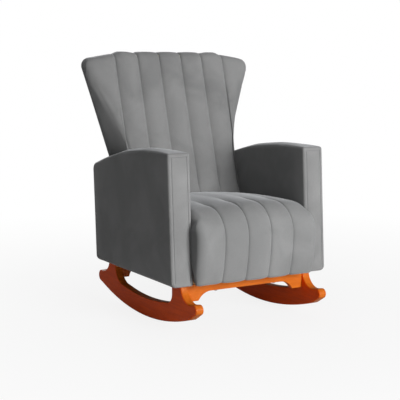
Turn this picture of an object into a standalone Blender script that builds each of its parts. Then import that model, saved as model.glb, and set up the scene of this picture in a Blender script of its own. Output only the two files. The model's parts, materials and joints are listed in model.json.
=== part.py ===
"""Upholstered nursing chair on two sawn wooden rockers.

Metres, +Z up, the front of the chair faces -Y. The origin is on the floor, under the middle of the
chair's box. The base is timber. The seat and back frames stand on it, inside foam and a channelled
cover, between two padded box arms.
"""
import math

import bmesh
import bpy

# Driving dimensions
OVERALL_HEIGHT = 0.950        # floor to the top of the back
ARM_SPAN = 0.630              # over the two arms
ROCKER_LENGTH = 0.770         # toe to tail
BASE_HEIGHT = 0.160           # floor to the top of the rockers' posts
GAP = 0.0003                  # clearance between pieces that touch
HOLE_CLEARANCE = 0.0004       # radial clearance of a screw, bolt or dowel in its hole

# Rockers
ROCKER_THICKNESS = 0.030
ROCKER_INSET = 0.0492         # arm's outer face to rocker's outer face
SOLE_RADIUS = 1.100
SOLE_CENTRE_Y = 0.004         # where the sole meets the floor, under the centre of mass
SOLE_FACET = 0.036
SOLE_FACETS = 19              # an odd number, so that the middle facet lies flat
BAR_DEPTH = 0.0675            # height of the rocker under its window
TOE_RADIUS = 0.018
TOE_HEIGHT = 0.093
TAIL_RADIUS = 0.022
TAIL_HEIGHT = 0.082
POST_FLARE_RADIUS = 0.060     # concave sweep from a post to the toe or the tail
POST_FLARE_RISE = 0.006       # how far the sweep's centre is above the post's top
FRONT_POST_Y = (-0.279, -0.215)
REAR_POST_Y = (0.230, 0.285)
WINDOW_FRONT_RADIUS = 0.038
WINDOW_REAR_RADIUS = 0.065

# Apron rails between the rockers
APRON_THICKNESS = 0.022
APRON_DEPTH = 0.030           # at the middle of the arch
FRONT_BRACKET_DEPTH = 0.060
REAR_BRACKET_DEPTH = 0.072
BRACKET_LENGTH = 0.042        # flat foot of each bracket, from the rocker
ARCH_RADIUS = 0.045
FRONT_APRON_SETBACK = 0.002   # front post's face to the apron's face
REAR_APRON_SETBACK = 0.005
DOWEL_RADIUS = 0.004
DOWEL_IN_RAIL = 0.022
DOWEL_IN_ROCKER = 0.018
DOWEL_DROPS = (0.014, 0.042)  # from the base's top down to each dowel
BASE_SCREW_X = 0.120
BASE_SCREW_RADIUS = 0.0025
BASE_SCREW_HEAD = (0.006, 0.0035)
BASE_SCREW_BITE = 0.045       # length of the screw in the seat frame

# Arms
ARM_WIDTH = 0.084
ARM_FRONT_Y = -0.310
ARM_REAR_Y = 0.298
LEAN = 0.061                  # the arms lean back by this much for each metre of height
ARM_HEIGHT = 0.452            # the base's top to the crown of the arm's arch
ARCH_CROWN_Y = -0.190
ARCH_SWEEP = 1.410            # radius of the arm's arched top
ARM_CORNER_RADIUS = 0.030
ARM_PADDING = 0.010           # board, wadding and cover together
FACING_THICKNESS = 0.010
FACING_TOP_RADIUS = 0.008
FACING_FOOT_RADIUS = 0.018
ARM_TIMBER = 0.025
ARM_BOARD_DEPTH = 0.034
ARM_BOTTOM_RAIL_HEIGHT = 0.055
ARM_BOLT_Y = (-0.200, 0.160)
ARM_BOLT_RISE = 0.036         # above the base's top
ARM_BOLT_RADIUS = 0.004
ARM_BOLT_HEAD = (0.008, 0.005)
ARM_BOLT_BITE = 0.022         # length of the bolt in the seat frame

# Seat
DUST_COVER = 0.001
SEAT_RAIL_THICKNESS = 0.030
SEAT_SIDE_RAIL_THICKNESS = 0.025
SEAT_RAIL_HEIGHT = 0.140
SEAT_FRONT_RAIL_Y = -0.285
CORNER_BLOCK_LEG = 0.060
CORNER_BLOCK_HEIGHT = 0.040
WEBBING = (0.050, 0.0015)     # width and thickness of a strap
SEAT_STRAP_X = (-0.140, -0.050, 0.050, 0.140)
COVER = 0.0015                # thickness of the sewn cover
SEAT_NOSE_Y = -0.365          # furthest forward point of the seat's front
SEAT_NOSE_RISE = 0.140        # the base's top to that point
SEAT_ROLL = (0.130, 0.125)    # length and height of the round from the nose to the top
SEAT_SKIRT = 0.260            # height over which the front draws in below the nose
SEAT_REAR_DROP = 0.016        # from the seat's crown to where it meets the back
SEAT_SKIRT_RISE = 0.0035      # base's top to the cover's bottom edge

# Back
BACK_ROOT = (0.125, 0.257)    # Y, and height above the base's top, where the front face meets the seat
RECLINE = math.tan(math.radians(16.0))
REAR_LEAN = 0.027             # lean of the outside back
FLARE_RISE = 0.440            # from the base's top: the sides are upright below this, and flare out above it
FLARE_TOP_DROP = 0.050        # from the back's top down to the end of the flare
FLARE_POWER = 1.5
TOP_HALF_WIDTH = 0.355
WING_CORNER_RADIUS = 0.030
WING_DROP = 0.032             # from the back's top down to the wings' tops
CROWN_HALF_WIDTH = 0.205      # the five middle channels rise above the wings
CROWN_STEP = 0.012
WING_STEP_WIDTH = 0.030
BACK_PANEL = 0.003            # wadding and cover of the outside back
BACK_BOARD = 0.005            # plywood behind the frame
BACK_FOAM = 0.020
STILE = (0.042, 0.019)        # width and thickness
BACK_RAIL_WIDTH = 0.040
BACK_RAIL_RISES = (0.028, 0.218)           # from the seat frame's top up to each rail
BACK_TOP_RAIL_DROPS = (0.085, 0.045)       # from the back's top down to the rail's two edges
BACK_STRAP_RISES = (0.108, 0.178, 0.268)   # from the seat frame's top up to each strap's middle

# Worked out from the above
HALF_SPAN = ARM_SPAN / 2
ARM_INNER = HALF_SPAN - ARM_WIDTH
SEAT_HALF = ARM_INNER - GAP
FRAME_HALF = SEAT_HALF - COVER - GAP
ROCKER_OUTER = HALF_SPAN - ROCKER_INSET
ROCKER_INNER = ROCKER_OUTER - ROCKER_THICKNESS
FRAME_Z = BASE_HEIGHT + 2 * GAP + DUST_COVER
DECK_Z = FRAME_Z + SEAT_RAIL_HEIGHT
PAD_Z = DECK_Z + 2 * GAP + WEBBING[1]
SEAT_NOSE_Z = BASE_HEIGHT + SEAT_NOSE_RISE
ARCH_CROWN_Z = BASE_HEIGHT + ARM_HEIGHT
BACK_ROOT_Z = BASE_HEIGHT + BACK_ROOT[1]
FLARE_Z = BASE_HEIGHT + FLARE_RISE
FLARE_TOP_Z = OVERALL_HEIGHT - FLARE_TOP_DROP
WING_CORNER_Z = OVERALL_HEIGHT - WING_DROP
BACK_TOP_RAIL_Z = [OVERALL_HEIGHT - drop for drop in BACK_TOP_RAIL_DROPS]
MARGIN = 0.050                # how far a cutter runs past the face that it opens
ROUND_STEPS = 16

CHAIR = bpy.data.objects


def clear_scene():
    """Removes whatever the scene holds, so that the chair stands alone."""
    for old in list(CHAIR):
        CHAIR.remove(old, do_unlink=True)


def finish(name, colour, roughness, metallic=0.0):
    """A plain material for one kind of piece."""
    material = bpy.data.materials.get(name) or bpy.data.materials.new(name)
    material.use_nodes = True
    shader = material.node_tree.nodes["Principled BSDF"]
    shader.inputs["Base Color"].default_value = (*colour, 1.0)
    shader.inputs["Roughness"].default_value = roughness
    shader.inputs["Metallic"].default_value = metallic
    return material


def varnished_wood():
    return finish("varnished_wood", (0.55, 0.17, 0.03), 0.3)


def frame_timber():
    return finish("frame_timber", (0.72, 0.55, 0.35), 0.7)


def grey_cover():
    return finish("grey_cover", (0.25, 0.25, 0.25), 0.9)


def pale_foam():
    return finish("pale_foam", (0.85, 0.82, 0.66), 0.95)


def black_cloth():
    return finish("black_cloth", (0.02, 0.02, 0.02), 0.9)


def strap_cloth():
    return finish("strap_cloth", (0.35, 0.28, 0.2), 0.85)


def zinc_steel():
    return finish("zinc_steel", (0.6, 0.6, 0.62), 0.35, 1.0)


def arc(centre, radius, start, end, steps):
    """Points of a circular arc, the angles in degrees."""
    points = []
    for i in range(steps + 1):
        angle = math.radians(start + (end - start) * i / steps)
        points.append((centre[0] + radius * math.cos(angle), centre[1] + radius * math.sin(angle)))
    return points


def touch_angle(point, centre, radius, turn):
    """Angle, in degrees, at which a straight line from the point touches the circle."""
    across, up = point[0] - centre[0], point[1] - centre[1]
    spread = math.acos(radius / math.hypot(across, up))
    return math.degrees(math.atan2(up, across) + turn * spread)


def mirrored(points):
    """The same points on the other side of the middle, in reverse order."""
    return [(-across, up) for across, up in reversed(points)]


def object_of(name, mesh_data, material):
    """Links one named piece with its material."""
    bmesh.ops.recalc_face_normals(mesh_data, faces=mesh_data.faces)
    mesh = bpy.data.meshes.new(name)
    mesh_data.to_mesh(mesh)
    mesh_data.free()
    piece = CHAIR.new(name, mesh)
    bpy.context.scene.collection.objects.link(piece)
    if material:
        mesh.materials.append(material)
    else:
        piece.hide_render = True
        piece.display_type = "WIRE"
    return piece


def swept(name, outline, place_low, place_high, material):
    """A closed solid between an outline placed at one end and the same outline placed at the other."""
    mesh_data = bmesh.new()
    low = [mesh_data.verts.new(place_low(*point)) for point in outline]
    high = [mesh_data.verts.new(place_high(*point)) for point in outline]
    mesh_data.faces.new(low)
    mesh_data.faces.new(high)
    for i in range(len(outline)):
        j = (i + 1) % len(outline)
        mesh_data.faces.new((low[i], low[j], high[j], high[i]))
    return object_of(name, mesh_data, material)


def side_board(name, outline, x_low, x_high, material, lean=0.0):
    """A board sawn to a side outline of (y, z) points, leaning back from the base's top."""
    def place(x):
        return lambda y, z: (x, y + lean * (z - BASE_HEIGHT), z)
    return swept(name, outline, place(x_low), place(x_high), material)


def front_board(name, outline, y_low, y_high, material):
    """A board cut to a front outline of (x, z) points. y_low and y_high give Y at a height."""
    return swept(name, outline, lambda x, z: (x, y_low(z), z), lambda x, z: (x, y_high(z), z), material)


def block(name, x_range, y_range, z_range, material):
    """A square-edged block."""
    (left, right), (near, far) = x_range, y_range
    outline = [(left, near), (right, near), (right, far), (left, far)]
    return flat_board(name, outline, z_range, material)


def flat_board(name, outline, z_range, material):
    """A board lying flat, cut to an outline of (x, y) points."""
    return swept(name, outline, lambda x, y: (x, y, z_range[0]), lambda x, y: (x, y, z_range[1]), material)


def turned(name, profile, start, axis, material):
    """A round piece along X or Z: profile gives (distance along the axis from start, radius)."""
    mesh_data = bmesh.new()
    rings = []
    for along, radius in profile:
        ring = []
        for i in range(ROUND_STEPS):
            angle = 2 * math.pi * (i + 0.5) / ROUND_STEPS
            first, second = radius * math.cos(angle), radius * math.sin(angle)
            offset = (along, first, second) if axis == "X" else (first, second, along)
            ring.append(mesh_data.verts.new([start[k] + offset[k] for k in range(3)]))
        rings.append(ring)
    mesh_data.faces.new(rings[0])
    mesh_data.faces.new(rings[-1])
    for lower, upper in zip(rings, rings[1:]):
        for i in range(ROUND_STEPS):
            j = (i + 1) % ROUND_STEPS
            mesh_data.faces.new((lower[i], lower[j], upper[j], upper[i]))
    piece = object_of(name, mesh_data, material)
    piece.data.shade_smooth()
    piece.data.set_sharp_from_angle(angle=math.radians(40))
    return piece


def cut(piece, cutter):
    """Takes the cutter's shape out of the piece."""
    modifier = piece.modifiers.new(cutter.name, "BOOLEAN")
    modifier.object = cutter
    modifier.operation = "DIFFERENCE"
    modifier.solver = "EXACT"


def drill(pieces, name, start, length, radius, axis):
    """One straight hole through, or into, each of the pieces."""
    cutter = turned(name, [(0.0, radius), (length, radius)], start, axis, None)
    for piece in pieces:
        cut(piece, cutter)


# The base

def sole_points():
    """The sole as equal facets of a circle, from toe to tail, with its middle facet on the floor."""
    points = []
    rest = math.sqrt(SOLE_RADIUS ** 2 - (SOLE_FACET / 2) ** 2)
    for i in range(SOLE_FACETS + 1):
        along = (i - SOLE_FACETS / 2) * SOLE_FACET
        points.append((SOLE_CENTRE_Y + along, rest - math.sqrt(SOLE_RADIUS ** 2 - along ** 2)))
    return points


def window_floor(y):
    """Height of the window's bottom edge, which keeps the rocker's bar even above the sole."""
    inner_radius = SOLE_RADIUS - BAR_DEPTH
    return SOLE_RADIUS - math.sqrt(inner_radius ** 2 - (y - SOLE_CENTRE_Y) ** 2)


def post_sweep(centre_y, side):
    """Concave sweep from a post's top down towards the toe (side -1) or the tail (side +1)."""
    top = math.degrees(math.asin(POST_FLARE_RISE / POST_FLARE_RADIUS))
    centre = (centre_y, BASE_HEIGHT + POST_FLARE_RISE)
    if side < 0:
        return arc(centre, POST_FLARE_RADIUS, -top, -92, 10)
    return arc(centre, POST_FLARE_RADIUS, -92, -180 + top, 10)


def rocker_outline():
    """Side outline of a rocker: sole, tail, rear post, window, front post and toe."""
    half = ROCKER_LENGTH / 2
    reach = math.sqrt(POST_FLARE_RADIUS ** 2 - POST_FLARE_RISE ** 2)
    sole = sole_points()
    tail = (half - TAIL_RADIUS, TAIL_HEIGHT)
    toe = (TOE_RADIUS - half, TOE_HEIGHT)
    points = sole + arc(tail, TAIL_RADIUS, touch_angle(sole[-1], tail, TAIL_RADIUS, 1), 76, 10)
    points += post_sweep(REAR_POST_Y[1] + reach, +1)
    rear_centre = REAR_POST_Y[0] - WINDOW_REAR_RADIUS
    points.append((REAR_POST_Y[0], BASE_HEIGHT))
    rear_corner = (rear_centre, window_floor(rear_centre) + WINDOW_REAR_RADIUS)
    points += arc(rear_corner, WINDOW_REAR_RADIUS, 0, -84, 9)
    front_centre = FRONT_POST_Y[1] + WINDOW_FRONT_RADIUS
    steps = 10
    for i in range(1, steps):
        y = rear_centre + (front_centre - rear_centre) * i / steps
        points.append((y, window_floor(y)))
    front_corner = (front_centre, window_floor(front_centre) + WINDOW_FRONT_RADIUS)
    points += arc(front_corner, WINDOW_FRONT_RADIUS, -101, -180, 7)
    points.append((FRONT_POST_Y[1], BASE_HEIGHT))
    points += post_sweep(FRONT_POST_Y[0] - reach, -1)
    points += arc(toe, TOE_RADIUS, 88, 360 + touch_angle(sole[0], toe, TOE_RADIUS, -1), 10)
    return points


def rocker(side, name):
    """One sawn rocker. side is -1 on the left and +1 on the right, seen from the front."""
    return side_board(name, rocker_outline(), side * ROCKER_INNER, side * ROCKER_OUTER, varnished_wood())


def apron_outline(bracket_depth):
    """Front outline of an apron rail: straight on top, arched between its two brackets."""
    end = ROCKER_INNER - GAP
    foot = end - BRACKET_LENGTH
    arch_z = BASE_HEIGHT - APRON_DEPTH
    drop = bracket_depth - APRON_DEPTH
    curve = []
    steps = 7
    for i in range(steps + 1):
        turn = math.radians(90 * i / steps)
        curve.append((foot - ARCH_RADIUS * (1 - math.sin(turn)), arch_z - drop * (1 - math.cos(turn))))
    right = curve + [(end, BASE_HEIGHT - bracket_depth), (end, BASE_HEIGHT)]
    return right + mirrored(right)


def apron(name, front_y, bracket_depth):
    """One apron rail with its front face at front_y."""
    outline = apron_outline(bracket_depth)
    rear_y = front_y + APRON_THICKNESS
    return front_board(name, outline, lambda z: front_y, lambda z: rear_y, varnished_wood())


def dowels(rail, rail_label, rail_y, rockers):
    """Two dowels at each end of a rail, half in the rail and half in the rocker."""
    length = DOWEL_IN_RAIL + DOWEL_IN_ROCKER
    for side, label in ((-1, "left"), (1, "right")):
        for number, drop in enumerate(DOWEL_DROPS, start=1):
            inner_end = ROCKER_INNER - DOWEL_IN_RAIL
            x = inner_end if side > 0 else -inner_end - length
            start = (x, rail_y, BASE_HEIGHT - drop)
            name = f"dowel_{rail_label}_{label}_{number}"
            turned(name, [(0.0, DOWEL_RADIUS), (length, DOWEL_RADIUS)], start, "X", frame_timber())
            hole = (x - GAP, rail_y, start[2])
            hole_radius = DOWEL_RADIUS + HOLE_CLEARANCE
            drill([rail, rockers[label]], "hole_" + name, hole, length + 2 * GAP, hole_radius, "X")


def base_screws(apron_rail, seat_rail, dust_cover, label, y):
    """Screws up through an apron rail and the dust cover into the seat frame."""
    under = BASE_HEIGHT - APRON_DEPTH
    shank = FRAME_Z + BASE_SCREW_BITE - under
    head_radius, head_height = BASE_SCREW_HEAD
    for side, hand in ((-1, "left"), (1, "right")):
        name = f"base_screw_{label}_{hand}"
        start = (side * BASE_SCREW_X, y, under - GAP - head_height)
        neck = head_height + GAP / 2
        profile = [(0.0, head_radius * 0.8), (head_height * 0.4, head_radius), (neck - GAP / 2, head_radius),
                   (neck, BASE_SCREW_RADIUS), (neck + shank, BASE_SCREW_RADIUS)]
        turned(name, profile, start, "Z", zinc_steel())
        hole = (start[0], y, under - MARGIN / 5)
        drill([apron_rail, dust_cover, seat_rail], "hole_" + name, hole, MARGIN / 5 + shank + 2 * GAP,
              BASE_SCREW_RADIUS + HOLE_CLEARANCE, "Z")


# The seat

def back_front(z):
    """Y of the back's front face at a height."""
    return BACK_ROOT[0] + (z - BACK_ROOT_Z) * RECLINE


def back_rear(z):
    """Y of the outside back's rear face at a height."""
    return ARM_REAR_Y + (z - BASE_HEIGHT) * REAR_LEAN


def seat_outline(inset, past=0.0):
    """Side outline of the seat's pad, inset from its outer face and run past its open sides."""
    roll, rise = SEAT_ROLL
    middle = (SEAT_NOSE_Y + roll, SEAT_NOSE_Z)
    bottom = BASE_HEIGHT + SEAT_SKIRT_RISE
    skirt = math.asin((SEAT_NOSE_Z - bottom) / SEAT_SKIRT)
    points = []
    steps = 6
    for i in range(steps + 1):
        angle = -skirt * (1 - i / steps)
        height = (SEAT_SKIRT - inset) * math.sin(angle)
        points.append((middle[0] - (roll - inset) * math.cos(angle), middle[1] + height))
    points[0] = (points[0][0], bottom - past)
    steps = 10
    for i in range(1, steps + 1):
        angle = math.radians(90 * i / steps)
        height = (rise - inset) * math.sin(angle)
        points.append((middle[0] - (roll - inset) * math.cos(angle), middle[1] + height))
    crown = middle[1] + rise - inset
    rear_z = crown - SEAT_REAR_DROP
    points.append((back_front(rear_z) - 2 * GAP + past, rear_z))
    points.append((back_front(PAD_Z) - 2 * GAP + past, PAD_Z - past))
    points.append((SEAT_FRONT_RAIL_Y - GAP + past, PAD_Z - past))
    points.append((SEAT_FRONT_RAIL_Y - GAP + past, bottom - past))
    return points


def seat_pad():
    """The seat's foam block, and its sewn cover, which is open underneath and behind."""
    foam_half = SEAT_HALF - COVER - GAP
    side_board("seat_foam", seat_outline(COVER + GAP), -foam_half, foam_half, pale_foam())
    cover = side_board("seat_cover", seat_outline(0.0), -SEAT_HALF, SEAT_HALF, grey_cover())
    hollow_half = SEAT_HALF - COVER
    hollow = side_board("seat_cover_hollow", seat_outline(COVER, MARGIN), -hollow_half, hollow_half, None)
    cut(cover, hollow)


def seat_frame():
    """Four rails on the dust cover, with a glued block in each corner."""
    rear_y = back_rear(BASE_HEIGHT) - BACK_PANEL - GAP
    heights = (FRAME_Z, DECK_Z)
    front_inner = SEAT_FRONT_RAIL_Y + SEAT_RAIL_THICKNESS
    rear_inner = rear_y - SEAT_RAIL_THICKNESS
    wide = (-FRAME_HALF, FRAME_HALF)
    rails = {
        "front": block("seat_rail_front", wide, (SEAT_FRONT_RAIL_Y, front_inner), heights, frame_timber()),
        "rear": block("seat_rail_rear", wide, (rear_inner, rear_y), heights, frame_timber()),
    }
    inner = FRAME_HALF - SEAT_SIDE_RAIL_THICKNESS
    for side, hand in ((-1, "left"), (1, "right")):
        across = sorted((side * inner, side * FRAME_HALF))
        along = (front_inner + GAP, rear_inner - GAP)
        rails[hand] = block(f"seat_rail_{hand}", across, along, heights, frame_timber())
        for end, corner_y, inward in (("front", front_inner + GAP, 1), ("rear", rear_inner - GAP, -1)):
            corner_x = side * (inner - GAP)
            outline = [(corner_x, corner_y), (corner_x - side * CORNER_BLOCK_LEG, corner_y),
                       (corner_x, corner_y + inward * CORNER_BLOCK_LEG)]
            block_z = (FRAME_Z, FRAME_Z + CORNER_BLOCK_HEIGHT)
            flat_board(f"corner_block_{end}_{hand}", outline, block_z, frame_timber())
    dust_cover = block("dust_cover", wide, (SEAT_FRONT_RAIL_Y, rear_y),
                       (BASE_HEIGHT + GAP, BASE_HEIGHT + GAP + DUST_COVER), black_cloth())
    width, thickness = WEBBING
    for number, x in enumerate(SEAT_STRAP_X, start=1):
        block(f"seat_webbing_{number}", (x - width / 2, x + width / 2), (SEAT_FRONT_RAIL_Y, rear_y),
              (DECK_Z + GAP, DECK_Z + GAP + thickness), strap_cloth())
    return rails, dust_cover


# The arms

def arch_z(y, inset=0.0):
    """Height of the arm's arched top, before the arm leans."""
    return ARCH_CROWN_Z - ARCH_SWEEP + math.sqrt((ARCH_SWEEP - inset) ** 2 - (y - ARCH_CROWN_Y) ** 2)


def arm_outline(front_y, inset, bottom):
    """Side outline of an arm, upright, with its rear top corner rounded."""
    rear = ARM_REAR_Y - inset
    radius = ARM_CORNER_RADIUS - inset
    centre_y = rear - radius
    # The corner's circle touches the arch from inside.
    reach = ARCH_SWEEP - inset - radius
    centre_z = ARCH_CROWN_Z - ARCH_SWEEP + math.sqrt(reach ** 2 - (centre_y - ARCH_CROWN_Y) ** 2)
    meet = math.degrees(math.atan2(centre_z - (ARCH_CROWN_Z - ARCH_SWEEP), centre_y - ARCH_CROWN_Y))
    points = [(front_y, bottom), (rear, bottom)]
    points += arc((centre_y, centre_z), radius, 0, meet, 6)
    last_y = points[-1][0]
    steps = 12
    for i in range(1, steps + 1):
        y = last_y + (front_y - last_y) * i / steps
        points.append((y, arch_z(y, inset)))
    return points


def board_under(y):
    """Straight lower edge of the arched top board, which the posts stand under."""
    front, rear = ARM_FRONT_Y, ARM_REAR_Y - ARM_CORNER_RADIUS
    drop = arch_z(front) - arch_z(rear)
    return arch_z(front) - ARM_PADDING - ARM_BOARD_DEPTH - drop * (y - front) / (rear - front)


def facing_outline(side):
    """Front outline of an arm's facing: small top corners and a rounder outer foot."""
    top = arch_z(ARM_FRONT_Y)
    inner, outer = ARM_INNER, HALF_SPAN
    foot, crown = FACING_FOOT_RADIUS, FACING_TOP_RADIUS
    bottom = BASE_HEIGHT + GAP
    points = [(inner, bottom)]
    points += arc((outer - foot, bottom + foot), foot, -90, 0, 6)
    points += arc((outer - crown, top - crown), crown, 0, 90, 4)
    points += arc((inner + crown, top - crown), crown, 90, 180, 4)
    return points if side > 0 else mirrored(points)


def arm(side, hand, seat_rail):
    """One box arm: timber frame, padded cover open below and in front, and the facing that closes it."""
    bottom = BASE_HEIGHT + GAP
    behind_facing = ARM_FRONT_Y + FACING_THICKNESS + GAP
    near, far = sorted((side * ARM_INNER, side * HALF_SPAN))
    skin = arm_outline(behind_facing, 0.0, bottom)
    inside = arm_outline(behind_facing - MARGIN, ARM_PADDING, bottom - MARGIN)
    cover = side_board(f"arm_cover_{hand}", skin, near, far, grey_cover(), LEAN)
    hollow = side_board(f"arm_cover_hollow_{hand}", inside, near + ARM_PADDING, far - ARM_PADDING, None, LEAN)
    cut(cover, hollow)

    def leaned(offset):
        return lambda z: offset + LEAN * (z - BASE_HEIGHT)

    facing_planes = (leaned(ARM_FRONT_Y), leaned(ARM_FRONT_Y + FACING_THICKNESS))
    front_board(f"arm_facing_{hand}", facing_outline(side), *facing_planes, grey_cover())

    inset = ARM_PADDING + GAP
    inner, outer = sorted((side * (ARM_INNER + inset), side * (HALF_SPAN - inset)))
    rear = ARM_REAR_Y - inset
    board_top = arm_outline(behind_facing, inset, board_under(behind_facing))[2:]
    board = [(behind_facing, board_under(behind_facing)), (rear, board_under(rear))] + board_top
    side_board(f"arm_top_board_{hand}", board, inner, outer, frame_timber(), LEAN)
    post_ends = (("front", behind_facing, behind_facing + ARM_TIMBER), ("rear", rear - ARM_TIMBER, rear))
    for end, low, high in post_ends:
        post = [(low, FRAME_Z), (high, FRAME_Z)]
        post += [(high, board_under(high) - GAP), (low, board_under(low) - GAP)]
        side_board(f"arm_{end}_post_{hand}", post, inner, outer, frame_timber(), LEAN)
    rail_x = sorted((side * (ARM_INNER + inset), side * (ARM_INNER + inset + ARM_TIMBER)))
    low, high = behind_facing + ARM_TIMBER + GAP, rear - ARM_TIMBER - GAP
    rail_top = FRAME_Z + ARM_BOTTOM_RAIL_HEIGHT
    rail_outline = [(low, FRAME_Z), (high, FRAME_Z), (high, rail_top), (low, rail_top)]
    rail = side_board(f"arm_bottom_rail_{hand}", rail_outline, *rail_x, frame_timber(), LEAN)
    arm_bolts(side, hand, rail, cover, seat_rail)


def arm_bolts(side, hand, rail, cover, seat_rail):
    """Two bolts from inside the arm, through its inner wall, into the seat frame."""
    head_radius, head_height = ARM_BOLT_HEAD
    seat_face = FRAME_HALF
    head_face = ARM_INNER + ARM_PADDING + GAP + ARM_TIMBER + GAP
    shank = head_face - seat_face + ARM_BOLT_BITE
    for label, y in zip(("front", "rear"), ARM_BOLT_Y):
        tip = seat_face - ARM_BOLT_BITE
        profile = [(0.0, ARM_BOLT_RADIUS), (shank, ARM_BOLT_RADIUS), (shank + GAP / 4, head_radius),
                   (shank + head_height, head_radius)]
        profile = [(side * along, radius) for along, radius in profile]
        z = BASE_HEIGHT + ARM_BOLT_RISE
        name = f"arm_bolt_{label}_{hand}"
        turned(name, profile, (side * tip, y, z), "X", zinc_steel())
        length = shank + 2 * GAP
        start = tip - GAP if side > 0 else -tip + GAP - length
        hole_radius = ARM_BOLT_RADIUS + HOLE_CLEARANCE
        drill([rail, cover, seat_rail], "hole_" + name, (start, y, z), length, hole_radius, "X")


# The back

def half_width(z):
    """Half the back's width at a height: even between the arms, then flaring to the wings."""
    share = min(max((z - FLARE_Z) / (FLARE_TOP_Z - FLARE_Z), 0.0), 1.0)
    return SEAT_HALF + (TOP_HALF_WIDTH - SEAT_HALF) * share ** FLARE_POWER


def flared_side(inset, low, high, steps=10):
    """Points up one flared edge, from low to high."""
    points = [(half_width(low) - inset, low)]
    start = max(low, FLARE_Z)
    for i in range(steps + 1):
        z = start + (high - start) * i / steps
        points.append((half_width(z) - inset, z))
    return points


def fan_outline(inset, bottom):
    """Front outline of the back, from its bottom edge to the wings and the raised middle."""
    radius = WING_CORNER_RADIUS - inset
    corner_z = WING_CORNER_Z - WING_CORNER_RADIUS
    corner_x = TOP_HALF_WIDTH - WING_CORNER_RADIUS
    right = flared_side(inset, bottom, corner_z)
    right[-1] = (corner_x + radius, corner_z)
    right += arc((corner_x, corner_z), radius, 12, 90, 6)
    wing_inner_z = (WING_CORNER_Z + OVERALL_HEIGHT - CROWN_STEP) / 2
    right.append((CROWN_HALF_WIDTH + WING_STEP_WIDTH - inset / 2, wing_inner_z - inset))
    right.append((CROWN_HALF_WIDTH - inset / 2, OVERALL_HEIGHT - CROWN_STEP / 3 - inset))
    right.append((CROWN_HALF_WIDTH / 2, OVERALL_HEIGHT - inset))
    return right + mirrored(right)


def back_pad():
    """The back's foam, its sewn front cover, and the board-backed panel that closes it behind."""
    def panel_face(z):
        return back_rear(z) - BACK_PANEL

    def pad_face(z):
        return back_front(z) + COVER + GAP

    def board_rear(z):
        return panel_face(z) - GAP

    inside = fan_outline(COVER + GAP, PAD_Z)
    front_board("back_foam", inside, pad_face, lambda z: pad_face(z) + BACK_FOAM, pale_foam())
    front_board("back_board", inside, lambda z: board_rear(z) - BACK_BOARD, board_rear, frame_timber())
    cover = front_board("back_cover", fan_outline(0.0, PAD_Z), back_front, board_rear, grey_cover())
    hollow_outline = fan_outline(COVER, PAD_Z - MARGIN)
    hollow = front_board("back_cover_hollow", hollow_outline, lambda z: back_front(z) + COVER,
                         lambda z: panel_face(z) + MARGIN, None)
    cut(cover, hollow)
    front_board("back_panel", fan_outline(0.0, BASE_HEIGHT + GAP), panel_face, back_rear, grey_cover())


def back_frame():
    """Two sawn stiles on the seat frame, three rails and three straps."""
    def strap_face(z):
        return back_front(z) + COVER + 2 * GAP + BACK_FOAM

    def strap_rear(z):
        return strap_face(z) + WEBBING[1]

    def frame_face(z):
        return strap_rear(z) + GAP

    def frame_rear(z):
        return frame_face(z) + STILE[1]

    inset = COVER + 2 * GAP
    stile_width = STILE[0]
    outer = flared_side(inset, DECK_Z + GAP, BACK_TOP_RAIL_Z[0] - GAP)
    stile = outer + [(x - stile_width, z) for x, z in reversed(outer)]
    front_board("back_stile_right", stile, frame_face, frame_rear, frame_timber())
    front_board("back_stile_left", mirrored(stile), frame_face, frame_rear, frame_timber())

    reach = SEAT_HALF - inset - stile_width - GAP
    for label, rise in zip(("bottom", "middle"), BACK_RAIL_RISES):
        low = DECK_Z + rise
        high = low + BACK_RAIL_WIDTH
        outline = [(-reach, low), (reach, low), (reach, high), (-reach, high)]
        front_board(f"back_{label}_rail", outline, frame_face, frame_rear, frame_timber())
    low, high = BACK_TOP_RAIL_Z
    top_reach = TOP_HALF_WIDTH - WING_CORNER_RADIUS
    right = [(half_width(low) - 2 * inset, low), (top_reach, high)]
    front_board("back_top_rail", right + mirrored(right), frame_face, frame_rear, frame_timber())

    width = WEBBING[0]
    strap_reach = SEAT_HALF - inset
    for number, rise in enumerate(BACK_STRAP_RISES, start=1):
        z = DECK_Z + rise
        outline = [(-strap_reach, z - width / 2), (strap_reach, z - width / 2),
                   (strap_reach, z + width / 2), (-strap_reach, z + width / 2)]
        front_board(f"back_webbing_{number}", outline, strap_face, strap_rear, strap_cloth())


def build():
    clear_scene()
    rockers = {"left": rocker(-1, "rocker_left"), "right": rocker(1, "rocker_right")}
    front_y = FRONT_POST_Y[0] + FRONT_APRON_SETBACK
    rear_y = REAR_POST_Y[1] - REAR_APRON_SETBACK - APRON_THICKNESS
    front_apron = apron("front_apron_rail", front_y, FRONT_BRACKET_DEPTH)
    rear_apron = apron("rear_apron_rail", rear_y, REAR_BRACKET_DEPTH)
    dowels(front_apron, "front", front_y + APRON_THICKNESS / 2, rockers)
    dowels(rear_apron, "rear", rear_y + APRON_THICKNESS / 2, rockers)
    rails, dust_cover = seat_frame()
    base_screws(front_apron, rails["front"], dust_cover, "front", front_y + APRON_THICKNESS / 2)
    base_screws(rear_apron, rails["rear"], dust_cover, "rear", rear_y + APRON_THICKNESS * 2 / 3)
    seat_pad()
    arm(-1, "left", rails["left"])
    arm(1, "right", rails["right"])
    back_pad()
    back_frame()


build()
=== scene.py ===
import json
import math

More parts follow.
